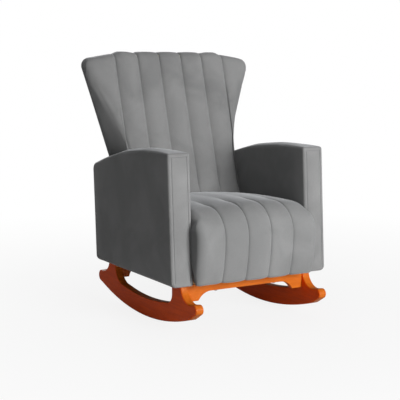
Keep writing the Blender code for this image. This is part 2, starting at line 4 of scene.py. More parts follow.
import bmesh
import bpy
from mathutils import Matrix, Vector


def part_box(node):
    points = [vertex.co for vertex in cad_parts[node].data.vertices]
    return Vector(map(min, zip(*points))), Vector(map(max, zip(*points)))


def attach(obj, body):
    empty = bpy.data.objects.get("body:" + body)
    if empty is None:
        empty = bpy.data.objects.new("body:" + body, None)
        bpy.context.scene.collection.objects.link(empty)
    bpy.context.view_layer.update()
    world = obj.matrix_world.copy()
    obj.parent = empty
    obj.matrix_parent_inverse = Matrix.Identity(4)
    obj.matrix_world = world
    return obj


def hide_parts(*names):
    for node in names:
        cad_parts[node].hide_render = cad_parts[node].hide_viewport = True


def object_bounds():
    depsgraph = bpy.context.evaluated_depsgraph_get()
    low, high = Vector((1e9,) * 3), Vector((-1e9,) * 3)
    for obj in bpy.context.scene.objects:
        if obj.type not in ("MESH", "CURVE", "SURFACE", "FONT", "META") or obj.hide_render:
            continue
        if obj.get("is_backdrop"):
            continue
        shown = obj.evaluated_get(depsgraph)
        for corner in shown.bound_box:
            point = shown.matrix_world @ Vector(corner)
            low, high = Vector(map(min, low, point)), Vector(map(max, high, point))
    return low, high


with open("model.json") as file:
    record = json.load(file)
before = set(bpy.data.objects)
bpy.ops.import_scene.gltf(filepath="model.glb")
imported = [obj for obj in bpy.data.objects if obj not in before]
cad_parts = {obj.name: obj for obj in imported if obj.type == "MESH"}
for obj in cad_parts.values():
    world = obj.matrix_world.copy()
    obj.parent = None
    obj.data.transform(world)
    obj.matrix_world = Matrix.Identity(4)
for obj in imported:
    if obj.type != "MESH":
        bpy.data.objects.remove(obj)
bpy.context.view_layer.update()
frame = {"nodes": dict(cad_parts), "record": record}        # metres: the floor is z = 0, and the chair faces -Y
bpy.ops.object.select_all(action="DESELECT")


# The two rockers.
# Each is sawn from one thick board of pale hardwood: toe, front post, window, rear post and tail in one
# profile. Its edges are rounded over, and it is stained honey red and varnished. Two dowels a rail hold it.

rocker_low, rocker_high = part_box("rocker_right")
ROCKER_THICK = rocker_high.x - rocker_low.x
BASE_TOP = rocker_high.z
SOLE_RADIUS = 1.100
SOLE_MIDDLE = (0.004, SOLE_RADIUS)           # Y and Z of the centre that the sole turns about
SOLE_HALF_ANGLE = 18.1
BAR_TOP_RADIUS = SOLE_RADIUS - 0.0675        # the window's lower edge runs parallel to the sole
TAIL = ((rocker_high.y - 0.022, 0.082), 0.022)
TOE = ((rocker_low.y + 0.018, 0.093), 0.018)
FRONT_POST = (-0.279, -0.215)
REAR_POST = (0.230, 0.285)
SWEEP_RADIUS = 0.060
SWEEP_RISE = 0.006
WINDOW_FRONT_RADIUS = 0.038
WINDOW_REAR_RADIUS = 0.065
ROUND_OVER = 0.0045
PIN_CLEARANCE = 0.0004


def start_outline(name, point):
    """A small plate drawn together to one corner, from which an outline is pulled."""
    bpy.ops.object.select_all(action="DESELECT")
    bpy.ops.mesh.primitive_plane_add(size=0.01, location=point)
    bpy.context.object.name = name
    bpy.context.object.data.name = name
    bpy.ops.object.transform_apply(location=True, rotation=True, scale=True)
    bpy.ops.object.mode_set(mode="EDIT")
    bpy.ops.mesh.select_mode(type="VERT")
    bpy.ops.mesh.select_all(action="SELECT")
    bpy.ops.mesh.merge(type="CENTER")


def line_to(point):
    """Pulls the outline's end straight to the point, if it isn't there already."""
    corners = bmesh.from_edit_mesh(bpy.context.object.data).verts
    step = Vector(point) - next(corner.co for corner in corners if corner.select)
    if step.length > 1e-6:
        bpy.ops.mesh.extrude_region_move(TRANSFORM_OT_translate={"value": step})


def turn_round(place, centre, radius, start, end, steps):
    """Carries the outline round a circle from one angle to another. place makes (x, y, z) of a flat point."""
    def on_circle(angle):
        return Vector(place(centre[0] + radius * math.cos(angle), centre[1] + radius * math.sin(angle)))

    first, last = math.radians(start), math.radians(end)
    line_to(on_circle(first))
    # Without a window a spin turns left-handed about its axis.
    across, up = on_circle(0.0), on_circle(math.pi / 2)
    middle = Vector(place(*centre))
    axis = (across - middle).cross(up - middle).normalized()
    bpy.ops.mesh.spin(steps=steps, angle=first - last, center=middle, axis=axis)


def fill_and_thicken(thickness):
    """Closes the outline, fills it and pulls the board's thickness out of it."""
    bpy.ops.mesh.select_all(action="SELECT")
    bpy.ops.mesh.remove_doubles(threshold=1e-5)
    bpy.ops.mesh.select_all(action="SELECT")
    bpy.ops.mesh.edge_face_add()
    bpy.ops.mesh.extrude_region_move(TRANSFORM_OT_translate={"value": thickness})
    bpy.ops.mesh.select_all(action="SELECT")
    bpy.ops.mesh.normals_make_consistent(inside=False)


def round_sharp_edges(width, segments=3, sharpness=40):
    """Runs a rounding cutter along every edge that is sharper than the angle."""
    bpy.ops.mesh.select_mode(type="EDGE")
    bpy.ops.mesh.select_all(action="DESELECT")
    bpy.ops.mesh.edges_select_sharp(sharpness=math.radians(sharpness))
    bpy.ops.mesh.bevel(offset=width, segments=segments, affect="EDGES", clamp_overlap=True)
    bpy.ops.mesh.select_mode(type="VERT")


def only(piece):
    """Selects one piece and nothing else."""
    bpy.ops.object.select_all(action="DESELECT")
    piece.select_set(True)
    bpy.context.view_layer.objects.active = piece


def apply_modifier(piece, kind, **settings):
    """Puts one modifier on a piece and applies it."""
    only(piece)
    modifier = piece.modifiers.new(kind.lower(), kind)
    for name, value in settings.items():
        setattr(modifier, name, value)
    bpy.ops.object.modifier_apply(modifier=modifier.name)


def smooth(piece, angle=35):
    """Smooth shading, with flat faces kept flat up to their rounded edges."""
    only(piece)
    bpy.ops.object.shade_smooth_by_angle(angle=math.radians(angle))
    apply_modifier(piece, "WEIGHTED_NORMAL", keep_sharp=True, weight=80)


def bore(piece, pin, axis):
    """Drills the piece for one of the chair's pins, with a little clearance all round."""
    low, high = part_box(pin)
    size = high - low
    width = max(size[(axis + 1) % 3], size[(axis + 2) % 3])
    turn = (0.0, math.pi / 2, 0.0) if axis == 0 else (0.0, 0.0, 0.0)
    bpy.ops.object.select_all(action="DESELECT")
    bpy.ops.mesh.primitive_cylinder_add(vertices=24, radius=width / 2 + PIN_CLEARANCE,
                                        depth=size[axis] + 2 * PIN_CLEARANCE, location=(low + high) / 2,
                                        rotation=turn)
    drill = bpy.context.object
    apply_modifier(piece, "BOOLEAN", object=drill, operation="DIFFERENCE", solver="EXACT")
    bpy.data.objects.remove(drill)


def window_floor(y):
    """Height of the window's curved lower edge."""
    return SOLE_MIDDLE[1] - math.sqrt(BAR_TOP_RADIUS ** 2 - (y - SOLE_MIDDLE[0]) ** 2)


def touching(point, centre, radius, turn):
    """Angle at which a straight line from the point meets the circle without a corner."""
    across, up = point[0] - centre[0], point[1] - centre[1]
    return math.degrees(math.atan2(up, across) + turn * math.acos(radius / math.hypot(across, up)))


def saw_rocker(name, x):
    """One rocker, its inner face at x."""
    def place(y, z):
        return (x, y, z)

    def sole_end(side):
        angle = math.radians(-90 + side * SOLE_HALF_ANGLE)
        return (SOLE_MIDDLE[0] + SOLE_RADIUS * math.cos(angle),
                SOLE_MIDDLE[1] + SOLE_RADIUS * math.sin(angle))

    reach = math.sqrt(SWEEP_RADIUS ** 2 - SWEEP_RISE ** 2)
    lift = math.degrees(math.asin(SWEEP_RISE / SWEEP_RADIUS))
    sweep_z = BASE_TOP + SWEEP_RISE
    start_outline(name, place(*sole_end(-1)))
    turn_round(place, SOLE_MIDDLE, SOLE_RADIUS, -90 - SOLE_HALF_ANGLE, -90 + SOLE_HALF_ANGLE, 40)
    turn_round(place, *TAIL, touching(sole_end(1), *TAIL, 1), 76, 14)
    turn_round(place, (REAR_POST[1] + reach, sweep_z), SWEEP_RADIUS, -92, -180 + lift, 16)
    line_to(place(REAR_POST[0], BASE_TOP))
    corner_y = REAR_POST[0] - WINDOW_REAR_RADIUS
    corner = (corner_y, window_floor(corner_y) + WINDOW_REAR_RADIUS)
    turn_round(place, corner, WINDOW_REAR_RADIUS, 0, -82, 16)
    front_y = FRONT_POST[1] + WINDOW_FRONT_RADIUS
    floor_ends = [-90 + math.degrees(math.asin((y - SOLE_MIDDLE[0]) / BAR_TOP_RADIUS))
                  for y in (corner_y, front_y)]
    turn_round(place, SOLE_MIDDLE, BAR_TOP_RADIUS, *floor_ends, 20)
    corner = (front_y, window_floor(front_y) + WINDOW_FRONT_RADIUS)
    turn_round(place, corner, WINDOW_FRONT_RADIUS, -101, -180, 12)
    line_to(place(FRONT_POST[1], BASE_TOP))
    turn_round(place, (FRONT_POST[0] - reach, sweep_z), SWEEP_RADIUS, -lift, -92, 16)
    turn_round(place, *TOE, 88, 360 + touching(sole_end(-1), *TOE, -1), 16)
    fill_and_thicken((ROCKER_THICK, 0, 0))
    round_sharp_edges(ROUND_OVER, 4)
    bpy.ops.object.mode_set(mode="OBJECT")
    return bpy.context.object


def put(tree, kind, links=None, **settings):
    """Adds one node with its settings, and its sockets' values or links."""
    node = tree.nodes.new(kind)
    for name, value in settings.items():
        setattr(node, name, value)
    for name, value in (links or {}).items():
        if isinstance(value, bpy.types.NodeSocket):
            tree.links.new(value, node.inputs[name])
        else:
            node.inputs[name].default_value = value
    return node


def new_effect(name, inputs, outputs):
    """A shared effect: a node group with named inputs and outputs."""
    tree = bpy.data.node_groups.new(name, "ShaderNodeTree")
    for label, kind, value in inputs:
        tree.interface.new_socket(label, in_out="INPUT", socket_type=kind).default_value = value
    for label, kind in outputs:
        tree.interface.new_socket(label, in_out="OUTPUT", socket_type=kind)
    return tree, tree.nodes.new("NodeGroupInput").outputs, tree.nodes.new("NodeGroupOutput").inputs


def make_wood_grain():
    """Long streaks and fine pores that run along a board, lighter and darker than the stain between them."""
    tree, given, result = new_effect("wood_grain", [
        ("Pale", "NodeSocketColor", (0.6, 0.3, 0.1, 1)), ("Deep", "NodeSocketColor", (0.3, 0.1, 0.05, 1)),
        ("Stretch", "NodeSocketVector", (1, 1, 1)), ("Streaks", "NodeSocketFloat", 0.5),
        ("Roughness", "NodeSocketFloat", 0.3)],
        [("Color", "NodeSocketColor"), ("Roughness", "NodeSocketFloat"), ("Height", "NodeSocketFloat")])
    place = put(tree, "ShaderNodeTexCoord").outputs["Object"]
    along = put(tree, "ShaderNodeVectorMath", {0: place, 1: given["Stretch"]},
                operation="MULTIPLY").outputs[0]
    sway = put(tree, "ShaderNodeTexNoise", {"Vector": along, "Scale": 1.6, "Detail": 2.0}).outputs["Color"]
    push = put(tree, "ShaderNodeVectorMath", {0: sway, 3: 0.5}, operation="SCALE").outputs[0]
    bent = put(tree, "ShaderNodeVectorMath", {0: along, 1: push}, operation="ADD").outputs[0]
    broad = put(tree, "ShaderNodeTexNoise", {"Vector": bent, "Scale": 4.0, "Detail": 5.0, "Roughness": 0.55})
    fine = put(tree, "ShaderNodeTexNoise", {"Vector": bent, "Scale": 38.0, "Detail": 4.0, "Roughness": 0.6})
    streak = put(tree, "ShaderNodeMapRange", {"Value": broad.outputs["Fac"],
                                              "From Min": 0.36, "From Max": 0.66})
    hair = put(tree, "ShaderNodeMapRange", {"Value": fine.outputs["Fac"], "From Min": 0.42, "From Max": 0.6})
    share = put(tree, "ShaderNodeMath", {0: streak.outputs[0], 1: given["Streaks"]}, operation="MULTIPLY")
    depth = put(tree, "ShaderNodeMath", {0: hair.outputs[0], 1: 0.22, 2: share.outputs[0]},
                operation="MULTIPLY_ADD", use_clamp=True)
    colour = put(tree, "ShaderNodeMix", {"Factor": depth.outputs[0], 6: given["Pale"], 7: given["Deep"]},
                 data_type="RGBA")
    dull = put(tree, "ShaderNodeMath", {0: hair.outputs[0], 1: 0.12, 2: given["Roughness"]},
               operation="MULTIPLY_ADD")
    tree.links.new(colour.outputs[2], result["Color"])
    tree.links.new(dull.outputs[0], result["Roughness"])
    tree.links.new(hair.outputs[0], result["Height"])
    return tree


def new_material(name, **constants):
    """A material with its shader's own settings."""
    material = bpy.data.materials.new(name)
    material.use_nodes = True
    shader = material.node_tree.nodes["Principled BSDF"]
    for label, value in constants.items():
        shader.inputs[label.replace("_", " ")].default_value = value
    return material, material.node_tree, shader


def lay_on(tree, shader, effect, strength, depth):
    """Feeds an effect's colour and roughness to the shader, and its height to a bump of that depth."""
    bump = put(tree, "ShaderNodeBump", {"Height": effect.outputs["Height"], "Strength": strength,
                                        "Distance": depth})
    tree.links.new(effect.outputs["Color"], shader.inputs["Base Color"])
    if "Roughness" in effect.outputs:
        tree.links.new(effect.outputs["Roughness"], shader.inputs["Roughness"])
    tree.links.new(bump.outputs[0], shader.inputs["Normal"])


WOOD_GRAIN = make_wood_grain()
# Painted shade: the same stain is given an amber tone for sawn edges and a deep red one for the boards' faces.
LIT_EDGE_PALE, LIT_EDGE_DEEP = (0.52, 0.125, 0.010, 1), (0.36, 0.066, 0.004, 1)
SHADED_FACE_PALE, SHADED_FACE_DEEP = (0.88, 0.098, 0.0012, 1), (0.60, 0.048, 0.0008, 1)


def stained_wood(name, stretch):
    """Honey-red stain under a clear varnish, one stain all over: the deep red on the boards' faces against the
    amber on their sawn edges is painted shade.
    stretch squeezes the streaks along the board's own grain."""
    material, tree, shader = new_material(name, Coat_Weight=0.05, Coat_Roughness=0.12,
                                          Specular_IOR_Level=0.12)
    facing = put(tree, "ShaderNodeTexCoord").outputs["Normal"]
    across = put(tree, "ShaderNodeSeparateXYZ", {"Vector": facing}).outputs["X"]
    flat = put(tree, "ShaderNodeMath", {0: across}, operation="ABSOLUTE").outputs[0]
    # Painted shade: surfaces that face along X, the boards' faces, take the deep red tones, and the rest take
    # the amber ones.
    face = put(tree, "ShaderNodeMapRange", {"Value": flat, "From Min": 0.5, "From Max": 0.9}).outputs[0]
    pale = put(tree, "ShaderNodeMix", {"Factor": face, 6: LIT_EDGE_PALE, 7: SHADED_FACE_PALE},
               data_type="RGBA").outputs[2]
    deep = put(tree, "ShaderNodeMix", {"Factor": face, 6: LIT_EDGE_DEEP, 7: SHADED_FACE_DEEP},
               data_type="RGBA").outputs[2]
    grain = put(tree, "ShaderNodeGroup", {"Pale": pale, "Deep": deep, "Stretch": stretch, "Streaks": 0.40,
                                          "Roughness": 0.34}, node_tree=WOOD_GRAIN)
    lay_on(tree, shader, grain, 0.08, 0.0006)
    return material


rocker_wood = stained_wood("varnished_rocker_wood", (26, 2.4, 26))
for side, x in (("left", -rocker_high.x), ("right", rocker_low.x)):
    rocker = saw_rocker(f"rocker_board_{side}", x)
    for end in ("front", "rear"):
        for number in (1, 2):
            bore(rocker, f"dowel_{end}_{side}_{number}", 0)
    smooth(rocker)
    rocker.data.materials.append(rocker_wood)
    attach(rocker, "root")
    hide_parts(f"rocker_{side}")


# The two apron rails.
# Boards of the same wood stand on edge between the rockers, front and rear, each arched between two
# brackets. Dowels join their ends to the rockers, and two screws hold each up to the seat frame.

ARCH_THICK = 0.030
BRACKET_LENGTH = 0.042
BRACKET_RUN = 0.050              # how far the bracket's curve runs out under the rail
RAIL_ROUND_OVER = 0.0025

rail_wood = stained_wood("varnished_rail_wood", (2.4, 26, 26))


def saw_rail(name, low, high):
    """One apron rail that fills the box from low to high."""
    def place(x, z):
        return (x, low.y, z)

    foot = high.x - BRACKET_LENGTH
    arch_z = high.z - ARCH_THICK
    rise = arch_z - low.z
    curve = (BRACKET_RUN ** 2 + rise ** 2) / (2 * rise)
    start = math.degrees(math.asin((curve - rise) / curve))
    heart_x, heart_z = foot - BRACKET_RUN, arch_z - curve
    start_outline(name, place(low.x, high.z))
    line_to(place(high.x, high.z))
    line_to(place(high.x, low.z))
    turn_round(place, (heart_x, heart_z), curve, start, 90, 14)
    turn_round(place, (-heart_x, heart_z), curve, 90, 180 - start, 14)
    line_to(place(low.x, low.z))
    fill_and_thicken((0, high.y - low.y, 0))
    round_sharp_edges(RAIL_ROUND_OVER, 3)
    bpy.ops.object.mode_set(mode="OBJECT")
    return bpy.context.object


for end in ("front", "rear"):
    rail = saw_rail(f"apron_board_{end}", *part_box(f"{end}_apron_rail"))
    for side in ("left", "right"):
        bore(rail, f"base_screw_{end}_{side}", 2)
        for number in (1, 2):
            bore(rail, f"dowel_{end}_{side}_{number}", 0)
    smooth(rail)
    rail.data.materials.append(rail_wood)
    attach(rail, "root")
    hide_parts(f"{end}_apron_rail")


# The timber inside.
# Rough-sawn pine and plywood that no one sees: the seat frame and its corner blocks, the arms' frames, the
# back's stiles and rails, and the dowels. Sawn square, glued, and left bare.

def bare_pine(name, stretch):
    """Pale softwood with brown streaks, no finish on it."""
    material, tree, shader = new_material(name, Specular_IOR_Level=0.25)
    grain = put(tree, "ShaderNodeGroup", {"Pale": (0.72, 0.50, 0.27, 1), "Deep": (0.47, 0.26, 0.10, 1),
                                          "Stretch": stretch, "Streaks": 0.8, "Roughness": 0.68},
                node_tree=WOOD_GRAIN)
    lay_on(tree, shader, grain, 0.3, 0.001)
    return material


def nodes_of(slot):
    """The chair's solids that are made of one stuff."""
    return [part["node"] for part in frame["record"]["subparts"] if part["material_slot"] == slot]


def paint(node, material):
    """Puts a material on a solid that shows as it is."""
    frame["nodes"][node].data.materials.clear()
    frame["nodes"][node].data.materials.append(material)


pine = [bare_pine("pine_along_x", (2.5, 22, 22)), bare_pine("pine_along_y", (22, 2.5, 22)),
        bare_pine("pine_upright", (22, 22, 2.5))]
for node in nodes_of("frame_timber"):
    low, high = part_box(node)
    longest = max(range(3), key=lambda axis: high[axis] - low[axis])
    paint(node, pine[longest])


# The fixings.
# Zinc-plated steel: four screws up through the apron rails, and four bolts from inside the arms.

zinc, zinc_tree, zinc_shader = new_material("zinc_plate", Metallic=1.0)
cloud = put(zinc_tree, "ShaderNodeTexNoise", {
    "Vector": put(zinc_tree, "ShaderNodeTexCoord").outputs["Object"], "Scale": 420.0, "Detail": 4.0})
tone = put(zinc_tree, "ShaderNodeMix", {"Factor": cloud.outputs["Fac"], 6: (0.42, 0.43, 0.44, 1),
                                        7: (0.72, 0.72, 0.70, 1)}, data_type="RGBA")
dull = put(zinc_tree, "ShaderNodeMapRange", {"Value": cloud.outputs["Fac"], "To Min": 0.25, "To Max": 0.5})
zinc_tree.links.new(tone.outputs[2], zinc_shader.inputs["Base Color"])
zinc_tree.links.new(dull.outputs[0], zinc_shader.inputs["Roughness"])
for node in nodes_of("steel"):
    paint(node, zinc)


# The straps.
# Woven jute and rubber webbing, four under the seat foam and three behind the back foam, tacked tight to
# the frame at both ends. Each sags a little in its middle.

STRAP_SAG = 0.003
STRAP_TUCK = 0.006               # how far the back straps stop short of the stiles' outer edges
STRAP_EDGE = 0.0004


def make_weave():
    """Threads over and under each other: height and shade of a plain weave."""
    tree, given, result = new_effect("plain_weave", [
        ("Warp", "NodeSocketColor", (0.5, 0.4, 0.3, 1)), ("Weft", "NodeSocketColor", (0.3, 0.2, 0.1, 1)),
        ("Threads", "NodeSocketFloat", 600.0)],
        [("Color", "NodeSocketColor"), ("Height", "NodeSocketFloat")])
    place = put(tree, "ShaderNodeTexCoord").outputs["Object"]
    split = put(tree, "ShaderNodeSeparateXYZ", {"Vector": place}).outputs
    depth = put(tree, "ShaderNodeMath", {0: split["Y"], 1: split["Z"]}, operation="ADD").outputs[0]
    waves = []
    for run in (split["X"], depth):
        turns = put(tree, "ShaderNodeMath", {0: run, 1: given["Threads"]}, operation="MULTIPLY").outputs[0]
        waves.append(put(tree, "ShaderNodeMath", {0: turns}, operation="SINE").outputs[0])
    over = put(tree, "ShaderNodeMath", {0: waves[0], 1: waves[1]}, operation="MULTIPLY").outputs[0]
    height = put(tree, "ShaderNodeMapRange", {"Value": over, "From Min": -1.0, "From Max": 1.0}).outputs[0]
    colour = put(tree, "ShaderNodeMix", {"Factor": height, 6: given["Warp"], 7: given["Weft"]},
                 data_type="RGBA")
    tree.links.new(colour.outputs[2], result["Color"])
    tree.links.new(height, result["Height"])
    return tree


WEAVE = make_weave()


def woven(name, warp, weft, threads, roughness):
    """Cloth or strap of two colours of thread."""
    material, tree, shader = new_material(name, Roughness=roughness, Specular_IOR_Level=0.2)
    weave = put(tree, "ShaderNodeGroup", {"Warp": warp, "Weft": weft, "Threads": threads}, node_tree=WEAVE)
    lay_on(tree, shader, weave, 0.5, 0.0006)
    return material


def slice_across(axis, places):
    """Cuts rows of edges across the whole piece, one at each place along the axis."""
    along = Vector([1.0 if i == axis else 0.0 for i in range(3)])
    for place in places:
        bpy.ops.mesh.select_all(action="SELECT")
        bpy.ops.mesh.bisect(plane_co=along * place, plane_no=along)


def between(low, high, count):
    """Evenly spaced places between two ends, without the ends."""
    return [low + (high - low) * i / count for i in range(1, count)]


def lean_back(piece, slope, from_z):
    """Leans an upright piece back by the slope, from a height that stays where it is."""
    for corner in piece.data.vertices:
        corner.co.y += slope * (corner.co.z - from_z)
    piece.data.update()


jute = woven("jute_webbing", (0.42, 0.31, 0.18, 1), (0.20, 0.13, 0.07, 1), 1400.0, 0.85)
RECLINE = math.tan(math.radians(16))         # the back's lean
for node in nodes_of("webbing"):
    low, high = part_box(node)
    seat_strap = node.startswith("seat")
    if not seat_strap:
        low.x, high.x = low.x + STRAP_TUCK, high.x - STRAP_TUCK
    lean = 0.0 if seat_strap else RECLINE * (high.z - low.z)
    start_outline(node.replace("webbing", "strap"), low)
    line_to((high.x, low.y, low.z))
    if seat_strap:
        line_to((high.x, high.y, low.z))
        line_to((low.x, high.y, low.z))
        fill_and_thicken((0, 0, high.z - low.z))
        slice_across(1, between(low.y, high.y, 24))
    else:
        line_to((high.x, low.y, high.z))
        line_to((low.x, low.y, high.z))
        fill_and_thicken((0, high.y - low.y - lean, 0))
        slice_across(0, between(low.x, high.x, 24))
    round_sharp_edges(STRAP_EDGE, 1)
    bpy.ops.object.mode_set(mode="OBJECT")
    strap = bpy.context.object
    run, sag = (1, 2) if seat_strap else (0, 1)
    for corner in strap.data.vertices:
        share = (corner.co[run] - low[run]) / (high[run] - low[run])
        corner.co[sag] += (-1 if seat_strap else 1) * STRAP_SAG * 4 * share * (1 - share)
    if not seat_strap:
        lean_back(strap, RECLINE, low.z)
    smooth(strap)
    strap.data.materials.append(jute)
    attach(strap, "root")
    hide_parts(node)


# The dust cover.
# A sheet of black spun cloth tacked under the seat frame, flat and tight.

low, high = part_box("dust_cover")
bpy.ops.object.select_all(action="DESELECT")
bpy.ops.mesh.primitive_plane_add(size=1, location=((low + high) / 2).to_tuple()[:2] + (high.z,))
dust_cloth = bpy.context.object
dust_cloth.name = dust_cloth.data.name = "dust_cloth"
dust_cloth.dimensions = (high.x - low.x, high.y - low.y, 0)
bpy.ops.object.transform_apply(location=True, rotation=True, scale=True)
bpy.ops.object.mode_set(mode="EDIT")
bpy.ops.mesh.select_all(action="SELECT")
bpy.ops.mesh.subdivide(number_cuts=24)
bpy.ops.mesh.extrude_region_move(TRANSFORM_OT_translate={"value": (0, 0, low.z - high.z)})
bpy.ops.mesh.select_all(action="SELECT")
bpy.ops.mesh.normals_make_consistent(inside=False)
bpy.ops.object.mode_set(mode="OBJECT")
dust_cloth.data.materials.append(woven("black_spun_cloth", (0.012, 0.012, 0.012, 1), (0.03, 0.03, 0.03, 1),
                                       2600.0, 0.95))
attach(dust_cloth, "root")
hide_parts("dust_cover")


# The arms' covers.
# Each is one piece of grey velvet over wadding, pulled over the arm's timber box: up both sides, over the
# arched top and round to a narrow border in front. It is stapled underneath and behind the facing.

cover_low, cover_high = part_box("arm_cover_right")
ARM_INNER, ARM_OUTER = cover_low.x, cover_high.x
ARM_BOTTOM = cover_low.z
ARM_FRONT, ARM_REAR = -0.310, 0.298
ARM_LEAN = 0.061
ARCH_CROWN = (-0.190, 0.612)
ARCH_RADIUS = 1.410
ARM_REAR_CORNER = 0.030
ARM_EDGE = 0.009
BORDER = 0.0085                  # the narrow strip of cover that shows round the facing
RECESS = 0.0055
RECESS_SLOPE = 0.0015            # how far the recess closes in on its way down
COVER_WALL = 0.003
FOOT_RADIUS = 0.018
TACK_REACH = 0.050               # how far from a tacked edge the cover is free to swell


def make_velvet():
    """Short dense pile. Brushed patches are lighter or darker, and single fibres show only close to."""
    tree, given, result = new_effect("velvet_pile", [
        ("Pile", "NodeSocketColor", (0.2, 0.2, 0.2, 1)), ("Brushed", "NodeSocketColor", (0.3, 0.3, 0.3, 1)),
        ("Brushing", "NodeSocketFloat", 0.5)],
        [("Color", "NodeSocketColor"), ("Roughness", "NodeSocketFloat"), ("Height", "NodeSocketFloat")])
    place = put(tree, "ShaderNodeTexCoord").outputs["Object"]
    patches = put(tree, "ShaderNodeTexNoise", {"Vector": place, "Scale": 7.0, "Detail": 3.0,
                                               "Distortion": 0.6})
    strokes = put(tree, "ShaderNodeTexNoise", {"Vector": place, "Scale": 38.0, "Detail": 4.0,
                                               "Roughness": 0.6})
    fibres = put(tree, "ShaderNodeTexNoise", {"Vector": place, "Scale": 1100.0, "Detail": 2.0})
    patch = put(tree, "ShaderNodeMapRange", {"Value": patches.outputs["Fac"],
                                             "From Min": 0.38, "From Max": 0.64})
    mixed = put(tree, "ShaderNodeMath", {0: strokes.outputs["Fac"], 1: 0.35, 2: patch.outputs[0]},
                operation="MULTIPLY_ADD")
    share = put(tree, "ShaderNodeMath", {0: mixed.outputs[0], 1: given["Brushing"]}, operation="MULTIPLY",
                use_clamp=True)
    nap = put(tree, "ShaderNodeMix", {"Factor": share.outputs[0], 6: given["Pile"], 7: given["Brushed"]},
              data_type="RGBA")
    speck = put(tree, "ShaderNodeMapRange", {"Value": fibres.outputs["Fac"], "From Min": 0.3, "From Max": 0.7,
                                             "To Min": 0.86, "To Max": 1.1})
    colour = put(tree, "ShaderNodeVectorMath", {0: nap.outputs[2], 3: speck.outputs[0]}, operation="SCALE")
    dull = put(tree, "ShaderNodeMapRange", {"Value": share.outputs[0], "To Min": 0.95, "To Max": 0.8})
    tree.links.new(colour.outputs[0], result["Color"])
    tree.links.new(dull.outputs[0], result["Roughness"])
    tree.links.new(fibres.outputs["Fac"], result["Height"])
    return tree


VELVET_PILE = make_velvet()


def velvet(name, pile, brushed):
    """Grey velvet, darker where its pile stands up and lighter where it is brushed over."""
    material, tree, shader = new_material(name, Sheen_Weight=0.35, Sheen_Roughness=0.45,
                                          Specular_IOR_Level=0.15, Sheen_Tint=(0.9, 0.92, 0.95, 1))
    nap = put(tree, "ShaderNodeGroup", {"Pile": pile, "Brushed": brushed, "Brushing": 0.5},
              node_tree=VELVET_PILE)
    lay_on(tree, shader, nap, 0.25, 0.0004)
    return material


def choose(kind, test):
    """In edit mode, selects the faces, edges or corners whose middle and normal pass the test."""
    bpy.ops.mesh.select_mode(type=kind)
    bpy.ops.mesh.select_all(action="DESELECT")
    mesh = bmesh.from_edit_mesh(bpy.context.object.data)
    for bit in {"VERT": mesh.verts, "EDGE": mesh.edges, "FACE": mesh.faces}[kind]:
        if kind == "VERT":
            middle, normal = bit.co, bit.normal
        elif kind == "FACE":
            middle, normal = bit.calc_center_median(), bit.normal
        else:
            middle, normal = (bit.verts[0].co + bit.verts[1].co) / 2, (bit.verts[0].co - bit.verts[1].co)
        bit.select_set(bool(test(middle, normal)))
    mesh.select_flush_mode()
    bmesh.update_edit_mesh(bpy.context.object.data)


def swell(piece, sewn, pressure, reach):
    """Lets the filling press the cloth out between the places where it is sewn or tacked down. reach is the
    furthest that any point may move."""
    only(piece)
    before = [corner.co.copy() for corner in piece.data.vertices]
    held = piece.vertex_groups.new(name="sewn")
    for corner in piece.data.vertices:
        held.add([corner.index], sewn(corner.co), "REPLACE")
    cloth = piece.modifiers.new("cloth", "CLOTH")
    cloth.settings.vertex_group_mass = held.name
    cloth.settings.quality = 6
    cloth.settings.tension_stiffness = cloth.settings.compression_stiffness = 15.0
    cloth.settings.use_pressure = True
    cloth.settings.uniform_pressure_force = pressure
    cloth.settings.effector_weights.gravity = 0
    for moment in range(1, 21):
        bpy.context.scene.frame_set(moment)
    bpy.ops.object.modifier_apply(modifier=cloth.name)
    bpy.context.scene.frame_set(1)
    for corner, old in zip(piece.data.vertices, before):
        step = corner.co - old
        corner.co = old + step * min(1.0, reach / max(step.length, 1e-9))
    piece.vertex_groups.clear()


def arm_outline(place, front, inset):
    """The arm's side outline, upright: straight below and behind, a rounded rear corner, an arched top."""
    rear = ARM_REAR - inset
    radius = ARM_REAR_CORNER - inset
    heart = (ARCH_CROWN[0], ARCH_CROWN[1] - ARCH_RADIUS)
    corner_y = rear - radius
    corner_z = heart[1] + math.sqrt((ARCH_RADIUS - inset - radius) ** 2 - (corner_y - heart[0]) ** 2)
    meet = math.degrees(math.atan2(corner_z - heart[1], corner_y - heart[0]))
    ends = math.degrees(math.acos((front - heart[0]) / (ARCH_RADIUS - inset)))
    line_to(place(rear, ARM_BOTTOM))
    turn_round(place, (corner_y, corner_z), radius, 0, meet, 8)
    turn_round(place, heart, ARCH_RADIUS - inset, meet, ends, 28)


# Painted shade: the velvet is one cloth, given in three tones; the arms take the lightest.
arm_velvet = velvet("grey_velvet_arms", (0.175, 0.176, 0.176, 1), (0.235, 0.236, 0.235, 1))


